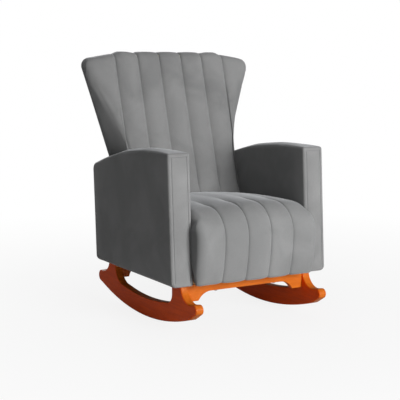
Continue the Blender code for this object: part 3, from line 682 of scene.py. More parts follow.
def cover_arm(name, side):
    """One arm's cover, drawn upright. side is -1 on the left and 1 on the right."""
    inner, outer = side * ARM_INNER, side * ARM_OUTER
    left = min(inner, outer)
    start_outline(name, (left, ARM_FRONT, ARM_BOTTOM))
    arm_outline(lambda y, z: (left, y, z), ARM_FRONT, 0.0)
    fill_and_thicken((ARM_OUTER - ARM_INNER, 0, 0))
    # The outer foot in front is cut round before the edges are softened.
    choose("EDGE", lambda middle, run: abs(middle.x - outer) < 1e-4 and middle.z < ARM_BOTTOM + 1e-4
           and abs(run.y) > 0.1)
    bpy.ops.mesh.bevel(offset=FOOT_RADIUS, segments=6, affect="EDGES")
    round_sharp_edges(ARM_EDGE, 4, 50)
    # The border is left standing round a shallow recess for the facing.
    choose("FACE", lambda middle, normal: normal.y < -0.99 and abs(middle.x) > 0.01)
    bpy.ops.mesh.inset(thickness=BORDER - ARM_EDGE * 0.6)
    bpy.ops.mesh.inset(thickness=RECESS_SLOPE, depth=-RECESS)
    slice_across(1, between(ARM_FRONT + 0.02, ARM_REAR, 24))
    slice_across(2, between(ARM_BOTTOM, ARCH_CROWN[1], 18))
    slice_across(0, [left + (ARM_OUTER - ARM_INNER) * share for share in (0.33, 0.5, 0.67)])
    bpy.ops.object.mode_set(mode="OBJECT")
    return bpy.context.object


def arm_tacked(place):
    """1 where the arm's cover is tacked or folded over an edge, 0 where it is free to swell."""
    edges = [place.z - ARM_BOTTOM, ARM_REAR - place.y, place.y - ARM_FRONT - 0.012]
    return 1.0 - min(1.0, max(0.0, min(edges) / TACK_REACH))


def delete_faces(test):
    """In edit mode, takes away the faces whose middle and normal pass the test."""
    choose("FACE", test)
    bpy.ops.mesh.delete(type="FACE")


for side, hand in ((-1, "left"), (1, "right")):
    cover = cover_arm(f"arm_velvet_{hand}", side)
    swell(cover, arm_tacked, 2.0, 0.004)
    only(cover)
    bpy.ops.object.mode_set(mode="EDIT")
    delete_faces(lambda middle, normal: normal.z < -0.9 and middle.z < ARM_BOTTOM + 1e-3)
    bpy.ops.object.mode_set(mode="OBJECT")
    lean_back(cover, ARM_LEAN, BASE_TOP)
    apply_modifier(cover, "SOLIDIFY", thickness=COVER_WALL, offset=-1.0)
    smooth(cover, 60)
    cover.data.materials.append(arm_velvet)
    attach(cover, "root")
    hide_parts(f"arm_cover_{hand}")


# The arms' facings.
# A long narrow panel of the same velvet over a board and thin wadding closes each arm in front. It is
# pressed into the border that the cover leaves, so a fine dark line runs all round it.

FACING_GAP = 0.0022
FACING_CROWN = 0.004
FACING_LIFT = 0.002              # from the cover's bottom edge up to the facing's
FACING_FOOT = FOOT_RADIUS - 0.006
FACING_CORNER = 0.004
FACING_ROUND = 0.003             # the rounding of its front edges
FACING_END = 0.030               # over what height its padding thins out at both ends


def make_facing(name, side):
    """One arm's facing, drawn upright in the recess of that arm's cover."""
    inset = BORDER + FACING_GAP + RECESS_SLOPE
    low_x, high_x = sorted((side * (ARM_INNER + inset), side * (ARM_OUTER - inset)))
    bottom = ARM_BOTTOM + FACING_LIFT
    top = ARCH_CROWN[1] - ARCH_RADIUS + math.sqrt(ARCH_RADIUS ** 2 - (ARM_FRONT - ARCH_CROWN[0]) ** 2) - inset
    foot, crown = FACING_FOOT, FACING_CORNER

    def place(x, z):
        return (x, ARM_FRONT + RECESS - 0.0003, z)

    start_outline(name, place(low_x, bottom + (foot if side < 0 else 0)))
    if side < 0:
        turn_round(place, (low_x + foot, bottom + foot), foot, 180, 270, 6)
        line_to(place(high_x, bottom))
    else:
        turn_round(place, (high_x - foot, bottom + foot), foot, -90, 0, 6)
    turn_round(place, (high_x - crown, top - crown), crown, 0, 90, 4)
    turn_round(place, (low_x + crown, top - crown), crown, 90, 180, 4)
    fill_and_thicken((0, -RECESS, 0))
    choose("EDGE", lambda middle, run: middle.y < ARM_FRONT + 1e-3)
    bpy.ops.mesh.bevel(offset=FACING_ROUND, segments=3, affect="EDGES")
    slice_across(2, between(bottom, top, 40))
    slice_across(0, between(low_x, high_x, 8))
    bpy.ops.object.mode_set(mode="OBJECT")
    facing = bpy.context.object
    middle, half = (low_x + high_x) / 2, (high_x - low_x) / 2
    for corner in facing.data.vertices:
        if corner.co.y < ARM_FRONT + RECESS / 2:
            across = 1 - min(1.0, abs(corner.co.x - middle) / half) ** 2
            ends = min(1.0, (top - corner.co.z) / FACING_END, (corner.co.z - bottom) / FACING_END)
            corner.co.y -= FACING_CROWN * across * max(0.0, ends)
    return facing


for side, hand in ((-1, "left"), (1, "right")):
    facing = make_facing(f"arm_panel_{hand}", side)
    lean_back(facing, ARM_LEAN, BASE_TOP)
    smooth(facing, 50)
    facing.data.materials.append(arm_velvet)
    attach(facing, "root")
    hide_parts(f"arm_facing_{hand}")


# The seat.
# A block of cut foam inside a velvet cover of five stitched channels, which runs from the back, over the
# rounded nose and down to the front apron. The seams are deep in front and fade out towards the back.

seat_low, seat_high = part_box("seat_cover")
SEAT_HALF = seat_high.x
SEAT_SEAMS = (-0.138, -0.046, 0.046, 0.138)
SEAT_NOSE = 0.110
NOSE_HEART = (-0.2535, 0.320)
SEAT_TOP_RADIUS = 5.4
SEAT_TOP_ANGLE = 4.03
SKIRT_RADIUS = 0.55
SEAT_SHOULDER = 0.024
SEAM_DEPTH = 0.0080
CHANNEL_COLUMNS = 16
PAD_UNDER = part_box("seat_webbing_1")[1].z + 0.0007
RAIL_FRONT = -0.2853
BACK_ROOT = (0.125, 0.417)       # Y and Z where the back's front face meets the seat
SKIRT_HEART = (NOSE_HEART[0] - SEAT_NOSE + SKIRT_RADIUS, NOSE_HEART[1])
SEAT_LINES = (-SEAT_HALF, *SEAT_SEAMS, SEAT_HALF)
SEAM_FULL_BELOW = 0.380          # under this height the seams are at full depth
SEAM_FADE = (-0.290, 0.170)      # where they start to fade on top, and over what length
SEAT_TACKED_FROM = 0.100         # behind this the cover is tacked down under the back
SEAT_HIDDEN_FROM = 0.090
SEAT_PROUD = 0.011               # how far the skirt bulges sideways in front of the arms
PROUD_RUN = 0.022                # over what length it does so
SEAT_CROWN = 0.019
CROWN_FROM = 0.320               # the height from which the sides drop
NOSE_CROWN = 0.004
VELVET_WALL = 0.002


def back_front(z):
    """Y of the back's front face at a height."""
    return BACK_ROOT[0] + (z - BACK_ROOT[1]) * RECLINE


def seat_outline(place, inset):
    """The seat's side outline from the foot of the skirt round the nose to the back, and home underneath."""
    nose, skirt = SEAT_NOSE - inset, SKIRT_RADIUS - inset
    foot = math.degrees(math.asin((NOSE_HEART[1] - seat_low.z - inset) / skirt))
    turn_round(place, SKIRT_HEART, skirt, 180 + foot, 180, 16)
    turn_round(place, NOSE_HEART, nose, 180, 90, 22)
    top_heart = (NOSE_HEART[0], NOSE_HEART[1] + SEAT_NOSE - SEAT_TOP_RADIUS)
    turn_round(place, top_heart, SEAT_TOP_RADIUS - inset, 90, 90 - SEAT_TOP_ANGLE, 30)
    line_to(place(back_front(PAD_UNDER) - 0.001 - inset, PAD_UNDER + inset))
    line_to(place(RAIL_FRONT - inset, PAD_UNDER + inset))
    line_to(place(RAIL_FRONT - inset, seat_low.z + inset))


def seat_block(name, inset):
    """The seat's outline pulled out from arm to arm, smaller by the inset all round."""
    left = -SEAT_HALF + inset
    drop = math.sqrt((SKIRT_RADIUS - inset) ** 2 - (NOSE_HEART[1] - seat_low.z - inset) ** 2)
    start_outline(name, (left, SKIRT_HEART[0] - drop, seat_low.z + inset))
    seat_outline(lambda y, z: (left, y, z), inset)
    fill_and_thicken((2 * SEAT_HALF - 2 * inset, 0, 0))
    return bpy.context.object


def eased(share):
    """0 to 1 with a soft start and a soft end."""
    share = min(1.0, max(0.0, share))
    return share * share * (3 - 2 * share)


def seam_pull(place):
    """1 where the seat's seams are pulled tight, down to almost nothing on top towards the back."""
    if place.z < SEAM_FULL_BELOW:
        return 1.0
    return 1.0 - 0.96 * eased((place.y - SEAM_FADE[0]) / SEAM_FADE[1])


def crowded(low, high, count):
    """Places between two ends, closer together towards the ends, where the cloth turns into a seam."""
    return [low + (high - low) * (0.5 - 0.5 * math.cos(math.pi * i / count)) for i in range(1, count)]


def fullness(x, lines):
    """0 on a seam and 1 in the middle of a channel. The first and the last line are edges, not seams."""
    for number, (first, second) in enumerate(zip(lines, lines[1:])):
        if x <= second or number == len(lines) - 2:
            share = min(1.0, max(0.0, (x - first) / (second - first)))
            if (number == 0 and share < 0.5) or (number == len(lines) - 2 and share > 0.5):
                return 1.0
            off_middle = abs(2 * share - 1)
            return 1.0 - 0.45 * off_middle ** 2.4 - 0.55 * off_middle ** 18


def under_seat(place):
    """Whether a place is on the seat's underside or behind its skirt."""
    return place.z < PAD_UNDER + 1e-3 and place.y > RAIL_FRONT - 1e-3


def crown_seat(piece):
    """Lets the seat's sides drop, so that its top is crowned from arm to arm."""
    for corner in piece.data.vertices:
        share = (corner.co.z - CROWN_FROM) / (NOSE_HEART[1] + SEAT_NOSE - CROWN_FROM)
        corner.co.z -= SEAT_CROWN * (corner.co.x / SEAT_HALF) ** 2 * eased(share)


def make_seat_cover():
    """The seat's cover as it is sewn, before the foam fills it out."""
    piece = seat_block("seat_velvet", 0.0)
    # The side rims are soft from the skirt round to the back.
    choose("EDGE", lambda middle, run: abs(abs(middle.x) - SEAT_HALF) < 1e-4 and abs(run.x) < 1e-4
           and (middle.y < RAIL_FRONT - 0.01 or middle.z > NOSE_HEART[1]) and middle.z > seat_low.z + 1e-3
           and not (middle.y > SEAT_HIDDEN_FROM and abs(run.z) > 0.05))
    bpy.ops.mesh.bevel(offset=SEAT_SHOULDER, segments=7, affect="EDGES", clamp_overlap=False)
    rim = SEAT_HALF - SEAT_SHOULDER
    slice_across(0, SEAT_SEAMS)
    for first, second in zip((-SEAT_HALF, *SEAT_SEAMS), (*SEAT_SEAMS, SEAT_HALF)):
        slice_across(0, [x for x in crowded(first, second, CHANNEL_COLUMNS) if abs(x) < rim])
    bpy.ops.object.mode_set(mode="OBJECT")
    normals = [corner.normal.copy() for corner in piece.data.vertices]
    for corner, normal in zip(piece.data.vertices, normals):
        if not under_seat(corner.co):
            sink = SEAM_DEPTH * seam_pull(corner.co) * (fullness(corner.co.x, SEAT_LINES) - 1.0)
            crown = NOSE_CROWN * (1 - (corner.co.x / SEAT_HALF) ** 2) * max(0.0, -normal.y)
            proud = SEAT_PROUD * eased((ARM_FRONT - 0.003 - corner.co.y) / PROUD_RUN)
            outside = max(0.0, (abs(corner.co.x) - SEAT_SEAMS[-1]) / (SEAT_HALF - SEAT_SEAMS[-1]))
            corner.co += normal * (sink + crown)
            corner.co.x += math.copysign(proud * outside, corner.co.x)
    crown_seat(piece)
    return piece


def seat_sewn(place):
    """1 along the seams and wherever the cover is tacked or hidden."""
    edge = SEAT_HALF - 0.004 if place.y > ARM_FRONT else SEAT_HALF + SEAT_PROUD - 0.002
    hidden = under_seat(place) or place.y > SEAT_TACKED_FROM
    if hidden or place.z < seat_low.z + 0.012 or abs(place.x) > edge:
        return 1.0
    return seam_pull(place) if min(abs(place.x - seam) for seam in SEAT_SEAMS) < 5e-4 else 0.0


# Painted shade: the seat's copy of the velvet is a little darker than the arms'.
seat_velvet = velvet("grey_velvet_seat_painted_shade", (0.170, 0.172, 0.172, 1), (0.235, 0.237, 0.236, 1))
seat = make_seat_cover()
swell(seat, seat_sewn, 4.0, 0.006)
only(seat)
bpy.ops.object.mode_set(mode="EDIT")
delete_faces(lambda middle, normal: under_seat(middle) or (middle.y > SEAT_HIDDEN_FROM and normal.y > 0.5
                                                           and abs(middle.x) < SEAT_HALF - 1e-3))
bpy.ops.object.mode_set(mode="OBJECT")
apply_modifier(seat, "SUBSURF", levels=1, render_levels=1)
apply_modifier(seat, "SOLIDIFY", thickness=VELVET_WALL, offset=-1.0)
smooth(seat, 60)
seat.data.materials.append(seat_velvet)
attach(seat, "root")
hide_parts("seat_cover")


# The seat's foam.
# One block of pale open-cell foam, cut to the seat's outline, glued on the straps and the front rail.

FOAM_INSET = 0.0115
FOAM_SHOULDER = 0.016


def foam_stuff(name):
    """Pale yellow open cells, with painted shade darkening their hollows and patches that differ at random."""
    material, tree, shader = new_material(name, Roughness=0.95, Specular_IOR_Level=0.1)
    place = put(tree, "ShaderNodeTexCoord").outputs["Object"]
    cells = put(tree, "ShaderNodeTexVoronoi", {"Vector": place, "Scale": 700.0}).outputs["Distance"]
    patch = put(tree, "ShaderNodeTexNoise", {"Vector": place, "Scale": 9.0, "Detail": 3.0}).outputs["Fac"]
    share = put(tree, "ShaderNodeMath", {0: cells, 1: patch}, operation="MULTIPLY", use_clamp=True).outputs[0]
    # Painted shade: near a cell's centre, its hollow, the colour goes to the darker yellow.
    tone = put(tree, "ShaderNodeMix", {"Factor": share, 6: (0.66, 0.58, 0.33, 1), 7: (0.88, 0.82, 0.60, 1)},
               data_type="RGBA").outputs[2]
    bump = put(tree, "ShaderNodeBump", {"Height": cells, "Strength": 0.4, "Distance": 0.0008})
    tree.links.new(tone, shader.inputs["Base Color"])
    tree.links.new(bump.outputs[0], shader.inputs["Normal"])
    return material


pale_foam = foam_stuff("pale_cut_foam")
seat_foam = seat_block("seat_foam_block", FOAM_INSET)
choose("EDGE", lambda middle, run: abs(abs(middle.x) - SEAT_HALF + FOAM_INSET) < 1e-4 and abs(run.x) < 1e-4
       and middle.z > PAD_UNDER + 0.03)
bpy.ops.mesh.bevel(offset=FOAM_SHOULDER, segments=4, affect="EDGES", clamp_overlap=True)
bpy.ops.object.mode_set(mode="OBJECT")
crown_seat(seat_foam)
smooth(seat_foam)
seat_foam.data.materials.append(pale_foam)
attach(seat_foam, "root")
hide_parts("seat_foam")


# The back.
# A velvet cover of seven stitched channels over foam, upright between the arms and fanned out into two soft
# wings above them. The seams run up over the rolled top, where each channel makes a small scallop.

BACK_SEAMS = (-0.234, -0.139, -0.047, 0.047, 0.139, 0.234)
BACK_BOTTOM = 0.388
WAIST = (0.2290, 0.535)          # half width, and the height up to which the sides are upright
FLARE_RADIUS = 0.400
FLARE_ANGLE = 26.0
WING_ROUND = 0.030
WING_HEART = (0.3225, 0.894)
WING_TOP_ANGLE = 81.0
WING_TIP = WING_HEART[1] + WING_ROUND * math.sin(math.radians((WING_TOP_ANGLE - FLARE_ANGLE) / 2))
CROWN_Z = 0.9475
CROWN_SHOULDER = (0.203, 0.031, 0.0098)      # where the crown starts to fall, over what width, and how far
SCALLOP = 0.006
OUTER_SCALLOP = 0.040            # how far the outer channels take to rise from their seam to the crown
REAR_FLARE = (0.2527, 0.5604, 17.7)          # a point on the rear edge's straight flare, and its slant
FLARE_FOOT = (0.505, 0.045)      # where the rear edge leaves the arms, and over what height it swings out
SPREAD_FROM = (0.200, 0.030)     # half width from which the sides spread to the rear, and over what width
TOP_ROLL = (0.026, 0.022)        # width and depth of the roll over the top edge
SIDE_ROLL = (0.014, 0.014)       # the same for the sides at the waist
WING_ROLL = (0.080, 0.013)       # what the wings add to it
ROLL_GROWTH = (0.600, 0.250)     # the height from which the side roll grows, and over what height
CHANNEL_DEPTH = 0.0120
CHANNEL_FOOT = (0.390, 0.060)    # the height at which the channels start, and over what height they deepen
BACK_ROWS = 66
WALL_ROWS = 6
REAR_FOOT = 0.298
REAR_LEAN = 0.027
PANEL_THICK = 0.003


def back_rear(z):
    """Y of the back's rear face at a height."""
    return REAR_FOOT + (z - BASE_TOP) * REAR_LEAN


def side_at(z):
    """Half the back's width at a height: upright, an arc, a straight flare, then the wing's round corner."""
    bend = math.radians(FLARE_ANGLE)
    if z < WAIST[1]:
        return WAIST[0]
    if z < WAIST[1] + FLARE_RADIUS * math.sin(bend):
        return WAIST[0] + FLARE_RADIUS - math.sqrt(FLARE_RADIUS ** 2 - (z - WAIST[1]) ** 2)
    if z < WING_HEART[1] - WING_ROUND * math.sin(bend):
        rise = z - WAIST[1] - FLARE_RADIUS * math.sin(bend)
        return WAIST[0] + FLARE_RADIUS * (1 - math.cos(bend)) + rise * math.tan(bend)
    return WING_HEART[0] + math.sqrt(max(0.0, WING_ROUND ** 2 - (z - WING_HEART[1]) ** 2))


def rear_side(z):
    """Half the width of the back's rear edge: upright between the arms, then one straight flare."""
    flared = REAR_FLARE[0] + (z - REAR_FLARE[1]) * math.tan(math.radians(REAR_FLARE[2]))
    return WAIST[0] + (flared - WAIST[0]) * eased((z - FLARE_FOOT[0]) / FLARE_FOOT[1])


def spread_at(x, z):
    """How much further out the rear edge stands than the front edge at a point."""
    low = min(z, WING_HEART[1] - WING_ROUND * math.sin(math.radians(REAR_FLARE[2])))
    share = min(1.0, max(0.0, (abs(x) - SPREAD_FROM[0]) / SPREAD_FROM[1]))
    return share * max(0.0, rear_side(low) - side_at(low))


def top_at(x):
    """Height of the back's top edge: a scalloped crown, a step down at the outer seams, and sloping wings."""
    x = abs(x)
    tip = math.radians(WING_TOP_ANGLE)
    if x < BACK_SEAMS[-1]:
        start, width, fall = CROWN_SHOULDER
        if x < BACK_SEAMS[-2]:
            full = fullness(x, BACK_SEAMS[2:])
        else:
            full = min(1.0, (x - BACK_SEAMS[-2]) / OUTER_SCALLOP)
        return CROWN_Z + SCALLOP * (full - 1.0) - fall * eased((x - start) / width)
    if x < WING_HEART[0] + WING_ROUND * math.cos(tip):
        run = WING_HEART[0] + WING_ROUND * math.cos(tip) - x
        return WING_HEART[1] + WING_ROUND * math.sin(tip) + run / math.tan(tip)
    return WING_HEART[1] + math.sqrt(max(0.0, WING_ROUND ** 2 - (x - WING_HEART[0]) ** 2))


def back_lines(z):
    """The back's seams at a height, between its two side edges."""
    edge = side_at(z)
    outer = min(BACK_SEAMS[-1], edge - 0.004)
    return (-edge, -outer, *BACK_SEAMS[1:-1], outer, edge)


def rolled(distance, width, depth):
    """How far the cloth has rolled back at a distance from the edge."""
    share = 1.0 - min(1.0, max(0.0, distance / width))
    return depth * (1.0 - math.sqrt(1.0 - share * share))


def rolled_front(x, z):
    """Y of the back's front, leaning back and rolled over at its sides and top."""
    growth = eased((z - ROLL_GROWTH[0]) / ROLL_GROWTH[1])
    width, depth = (least + more * growth for least, more in zip(SIDE_ROLL, WING_ROLL))
    side_roll = rolled(side_at(z) - abs(x), width, depth)
    top_roll = rolled(top_at(x) - z, *TOP_ROLL)
    return back_front(z) + (side_roll ** 4 + top_roll ** 4) ** 0.25


def back_face(x, z):
    """Y of the cover's face: the rolled front, sunk along the seams."""
    pull = CHANNEL_DEPTH * eased((z - CHANNEL_FOOT[0]) / CHANNEL_FOOT[1])
    return rolled_front(x, z) + pull * (1.0 - fullness(x, back_lines(z)))


def make_back_cover():
    """The back's cover as it is sewn: a grid laid along the channels, drawn back round its edge."""
    columns = CHANNEL_COLUMNS * (len(BACK_SEAMS) + 1)
    bpy.ops.object.select_all(action="DESELECT")
    bpy.ops.mesh.primitive_grid_add(x_subdivisions=columns, y_subdivisions=BACK_ROWS, size=1)
    piece = bpy.context.object
    piece.name = piece.data.name = "back_velvet"
    for corner in piece.data.vertices:
        channel, share = divmod(round((corner.co.x + 0.5) * columns), CHANNEL_COLUMNS)
        if channel == len(BACK_SEAMS) + 1:
            channel, share = channel - 1, CHANNEL_COLUMNS
        share = 0.5 - 0.5 * math.cos(math.pi * share / CHANNEL_COLUMNS)
        height = 1.0 - (0.5 - corner.co.y) ** 1.5
        top_lines = back_lines(WING_TIP)
        top_x = top_lines[channel] + (top_lines[channel + 1] - top_lines[channel]) * share
        z = BACK_BOTTOM + (top_at(top_x) - BACK_BOTTOM) * height
        lines = back_lines(min(z, WING_TIP))
        x = lines[channel] + (lines[channel + 1] - lines[channel]) * share
        corner.co = (x, back_face(x, z), z)
    # The rolled edge is drawn back to the frame all round, except along the bottom.
    bpy.ops.object.mode_set(mode="EDIT")
    bpy.ops.mesh.select_all(action="SELECT")
    bpy.ops.mesh.normals_make_consistent(inside=False)
    bpy.ops.mesh.select_mode(type="EDGE")
    bpy.ops.mesh.select_all(action="DESELECT")
    bpy.ops.mesh.select_non_manifold(extend=False, use_wire=False, use_multi_face=False,
                                     use_non_contiguous=False, use_verts=False)
    for edge in bmesh.from_edit_mesh(piece.data).edges:
        if edge.select and max(corner.co.z for corner in edge.verts) < BACK_BOTTOM + 1e-4:
            edge.select_set(False)
    fronts = {}
    for row in range(1, WALL_ROWS + 1):
        bpy.ops.mesh.extrude_region_move(TRANSFORM_OT_translate={"value": (0, 0, 0)})
        mesh = bmesh.from_edit_mesh(piece.data)
        for corner in mesh.verts:
            if corner.select:
                x, y, z = corner.co
                rear = back_rear(z) - PANEL_THICK - 0.0005
                outward = fronts.setdefault((round(z, 5), x > 0), spread_at(x, z))
                corner.co.x += math.copysign(outward / WALL_ROWS, x)
                corner.co.y = y + (rear - y) / (WALL_ROWS + 1 - row)
        bmesh.update_edit_mesh(piece.data)
    bpy.ops.mesh.select_mode(type="VERT")
    bpy.ops.object.mode_set(mode="OBJECT")
    return piece


def back_sewn(place):
    """1 along the seams, at the bottom and where the cover is tacked to the frame's rear."""
    if place.z < BACK_BOTTOM + 0.03 or place.y > back_rear(place.z) - PANEL_THICK - 0.003:
        return 1.0
    return 1.0 if min(abs(place.x - line) for line in back_lines(place.z)[1:-1]) < 5e-4 else 0.0


# Painted shade: the back's copy of the velvet is darker than the arms', because the back leans away from the
# light.
back_velvet = velvet("grey_velvet_back_painted_shade", (0.150, 0.151, 0.151, 1), (0.215, 0.216, 0.215, 1))
back = make_back_cover()
swell(back, back_sewn, 4.0, 0.005)
apply_modifier(back, "SUBSURF", levels=1, render_levels=1)
apply_modifier(back, "SOLIDIFY", thickness=VELVET_WALL, offset=-1.0)
smooth(back, 60)
back.data.materials.append(back_velvet)
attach(back, "root")
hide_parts("back_cover")


# The back's foam.
# One sheet of the same pale foam lies on the straps, in front of the back's frame. It is cut a little
# smaller than the cover all round and bends over with the cover's rolled edge.

FOAM_SETBACK = 0.0125
FOAM_THICK = 0.010
FOAM_EDGE = 0.012

foam_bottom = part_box("back_foam")[0].z
bpy.ops.object.select_all(action="DESELECT")
bpy.ops.mesh.primitive_grid_add(x_subdivisions=36, y_subdivisions=40, size=2)
back_foam = bpy.context.object
back_foam.name = back_foam.data.name = "back_foam_sheet"
for corner in back_foam.data.vertices:
    along_top = corner.co.x * (side_at(WING_TIP) - FOAM_EDGE)
    z = foam_bottom + (top_at(along_top) - FOAM_EDGE - foam_bottom) * (corner.co.y + 1) / 2
    x = corner.co.x * (side_at(min(z, WING_TIP)) - FOAM_EDGE)
    corner.co = (x, rolled_front(x, z) + FOAM_SETBACK, z)
bpy.ops.object.mode_set(mode="EDIT")
bpy.ops.mesh.select_all(action="SELECT")
bpy.ops.mesh.normals_make_consistent(inside=False)
bpy.ops.object.mode_set(mode="OBJECT")
apply_modifier(back_foam, "SOLIDIFY", thickness=FOAM_THICK, offset=-1.0)
smooth(back_foam)
back_foam.data.materials.append(pale_foam)
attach(back_foam, "root")
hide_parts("back_foam")


# The back's stiles.
# Two uprights of sawn pine carry the back. They stand on the seat frame, lean back with the foam, and are
# cut to follow the waist and the flare. The straps are tacked to their front faces.

stile_low, stile_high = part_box("back_stile_right")
STILE_THICK = 0.019
STILE_INNER = 0.187              # the stiles' inner edge stands no nearer to the middle than this
STILE_INSET = 0.006              # from the cover's edge in to the stile's outer edge
STILE_REACH = 0.046              # from the cover's edge in to its inner edge above the waist
STILE_FRONT = back_front(0) + 0.0242
for hand, side in (("left", -1), ("right", 1)):
    heights = [stile_low.z] + between(WAIST[1], stile_high.z, 14) + [stile_high.z]
    foot_x = side * (side_at(stile_low.z) - STILE_INSET)
    start_outline(f"sawn_stile_{hand}", (foot_x, STILE_FRONT, stile_low.z))
    for z in heights[1:]:
        line_to((side * (side_at(z) - STILE_INSET), STILE_FRONT, z))
    for z in reversed(heights):
        line_to((side * max(STILE_INNER, side_at(z) - STILE_REACH), STILE_FRONT, z))
    fill_and_thicken((0, STILE_THICK, 0))
    round_sharp_edges(0.001, 2)
    bpy.ops.object.mode_set(mode="OBJECT")
    stile = bpy.context.object
    lean_back(stile, RECLINE, 0)
    smooth(stile)
    stile.data.materials.append(pine[2])
    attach(stile, "root")
    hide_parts(f"back_stile_{hand}")


# The back's board.
# Thin plywood pinned to the rear of the stiles, cut to the back's outline. It keeps the outside panel flat.

BACK_SPREAD = 0.0020             # how much wider the rear edge is than the front at the wings' tips
BOARD_THICK = 0.005
BOARD_INSET = 0.012
BOARD_SETBACK = 0.0095           # from the back's rear face in to the board's front
BOARD_ROUND = 0.0008


def half_fan(name, y, bottom, inset, waist_gap=0.0):
    """The right half of a board cut to the back's outline, drawn upright."""
    def place(x, z):
        return (x, y, z)

    start_outline(name, place(0, bottom))
    line_to(place(WAIST[0] + waist_gap - inset, bottom))
    for rise in (0.0, 0.2, 0.4, 0.6, 0.8, 1.0):
        z = FLARE_FOOT[0] + FLARE_FOOT[1] * rise
        line_to(place(rear_side(z) + waist_gap * (1 - rise) - inset, z))
    wing = (WING_HEART[0] + BACK_SPREAD, WING_HEART[1])
    turn_round(place, wing, WING_ROUND - inset, -REAR_FLARE[2], WING_TOP_ANGLE, 10)
    for x in between(BACK_SEAMS[-1] + 0.006, 0.0, 60):
        line_to(place(x + spread_at(x, CROWN_Z) - inset * 0.5, top_at(x) - inset))
    line_to(place(0, CROWN_Z - inset))


def mirror_across(piece):
    """Makes the left half from the right one."""
    apply_modifier(piece, "MIRROR", use_axis=(True, False, False), use_clip=True, merge_threshold=0.0001)


def open_middle():
    """Takes away the cut face in the chair's middle, where the other half joins on."""
    delete_faces(lambda middle, normal: abs(middle.x) < 1e-5 and abs(normal.x) > 0.9)


board_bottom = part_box("back_board")[0].z
half_fan("back_plywood", back_rear(board_bottom) - BOARD_SETBACK, board_bottom, BOARD_INSET)
fill_and_thicken((0, BOARD_THICK, 0))
open_middle()
bpy.ops.object.mode_set(mode="OBJECT")
board = bpy.context.object
mirror_across(board)
lean_back(board, REAR_LEAN, board_bottom)
only(board)
bpy.ops.object.mode_set(mode="EDIT")
round_sharp_edges(BOARD_ROUND, 2)
bpy.ops.object.mode_set(mode="OBJECT")
smooth(board)
board.data.materials.append(pine[2])
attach(board, "root")
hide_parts("back_board")


# The outside back.
# A panel of the same velvet over thin wadding closes the back behind. It is drawn over the board and
# slip-stitched round its edge to the back's cover.

PANEL_OVERLAP = 0.0005           # how far it reaches past the rear outline
PANEL_SWING = 0.0012             # how far it stands out beside the waist
PANEL_BORDER = (0.004, 0.001)    # width and height of the slope inside its stitched edge
PANEL_REACH = 0.36               # half the width over which rows of edges are cut
panel_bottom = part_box("back_panel")[0].z
half_fan("outside_back_velvet", REAR_FOOT - PANEL_THICK, panel_bottom, -PANEL_OVERLAP, PANEL_SWING)
fill_and_thicken((0, PANEL_THICK, 0))
open_middle()
bpy.ops.object.mode_set(mode="OBJECT")
panel = bpy.context.object
mirror_across(panel)
only(panel)
bpy.ops.object.mode_set(mode="EDIT")
choose("FACE", lambda middle, normal: normal.y > 0.9)
bpy.ops.mesh.inset(thickness=PANEL_BORDER[0], depth=PANEL_BORDER[1])
slice_across(0, between(-PANEL_REACH, PANEL_REACH, 26))
slice_across(2, between(panel_bottom, CROWN_Z, 26))
bpy.ops.object.mode_set(mode="OBJECT")


def panel_sewn(place):
    """1 round the panel's stitched edge, easing off towards its middle."""
    edge = min(side_at(place.z) - abs(place.x), top_at(place.x) - place.z, place.z - panel_bottom)
    return 1.0 if place.y < REAR_FOOT + 5e-4 else 1.0 - eased(edge / 0.05)


swell(panel, panel_sewn, 3.0, 0.004)
lean_back(panel, REAR_LEAN, BASE_TOP)
smooth(panel, 50)
# The outside panel takes the back's darker copy of the velvet, whose darker tone is painted shade.
panel.data.materials.append(back_velvet)
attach(panel, "root")
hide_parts("back_panel")


# The room and the light.
# A pale floor and a pale room. One broad lamp stands in front on the right, a weak one behind, and a
# little light comes from above.

scene = bpy.context.scene
scene.view_settings.view_transform = "Standard"

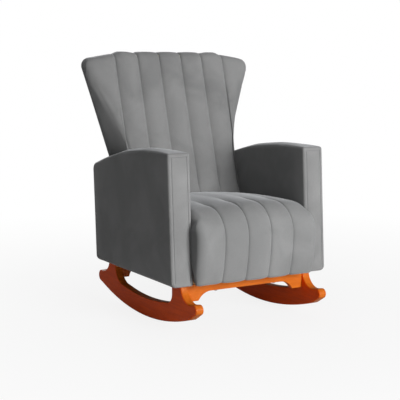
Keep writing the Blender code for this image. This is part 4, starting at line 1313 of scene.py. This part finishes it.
bpy.ops.object.select_all(action="DESELECT")
bpy.ops.mesh.primitive_plane_add(size=60, location=(0, 0, -0.0005))
floor = bpy.context.object
floor.name = "studio_floor"
floor_paint, floor_tree, floor_shader = new_material("pale_floor", Roughness=0.7)
floor_shader.inputs["Base Color"].default_value = (0.6, 0.6, 0.6, 1)
glow = put(floor_tree, "ShaderNodeEmission", {"Color": (1, 1, 1, 1), "Strength": 1.0})
watched = put(floor_tree, "ShaderNodeLightPath").outputs["Is Camera Ray"]
away = put(floor_tree, "ShaderNodeVectorMath", {0: put(floor_tree, "ShaderNodeTexCoord").outputs["Object"]},
           operation="LENGTH").outputs["Value"]
whiter = put(floor_tree, "ShaderNodeMapRange", {"Value": away, "From Min": 0.4, "From Max": 2.6,
                                                "To Min": 0.86, "To Max": 1.0}).outputs[0]
part_glow = put(floor_tree, "ShaderNodeMath", {0: watched, 1: whiter}, operation="MULTIPLY")
paint = put(floor_tree, "ShaderNodeMixShader", {0: part_glow.outputs[0], 1: floor_shader.outputs[0],
                                                2: glow.outputs[0]})
floor_tree.links.new(paint.outputs[0], floor_tree.nodes["Material Output"].inputs["Surface"])
floor.data.materials.append(floor_paint)
floor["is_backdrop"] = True

world = bpy.data.worlds.new("pale_room")
scene.world = world
world.use_nodes = True
sky = world.node_tree
sky.nodes.clear()
dim = put(sky, "ShaderNodeBackground", {"Color": (1, 1, 1, 1), "Strength": 0.17})
bright = put(sky, "ShaderNodeBackground", {"Color": (1, 1, 1, 1), "Strength": 1.0})
seen = put(sky, "ShaderNodeLightPath").outputs["Is Camera Ray"]
both = put(sky, "ShaderNodeMixShader", {0: seen, 1: dim.outputs[0], 2: bright.outputs[0]})
put(sky, "ShaderNodeOutputWorld", {"Surface": both.outputs[0]})


def lamp(name, place, aim, size, power):
    """A square lamp that faces its aim."""
    light = bpy.data.lights.new(name, "AREA")
    light.size = size
    light.energy = power
    holder = bpy.data.objects.new(name, light)
    scene.collection.objects.link(holder)
    holder.location = place
    holder.rotation_euler = (Vector(aim) - Vector(place)).to_track_quat("-Z", "Y").to_euler()


lamp("front_right_lamp", (1.0, -5.6, 1.7), (0, 0, 0.5), 2.6, 440)
lamp("rear_lamp", (0.6, 5.0, 1.8), (0, 0, 0.5), 2.0, 90)
lamp("top_lamp", (0.2, -0.6, 2.6), (0, 0, 0.4), 1.6, 3)

camera = bpy.data.objects.new("camera", bpy.data.cameras.new("camera"))
scene.collection.objects.link(camera)
camera.data.lens = 91.285
camera.location = (-1.8849, -3.2021, 0.8889)
camera_aim = Vector((0.0060, 0.0593, 0.3951))
camera.rotation_euler = (camera_aim - camera.location).to_track_quat("-Z", "Y").to_euler()
scene.camera = camera

low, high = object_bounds()
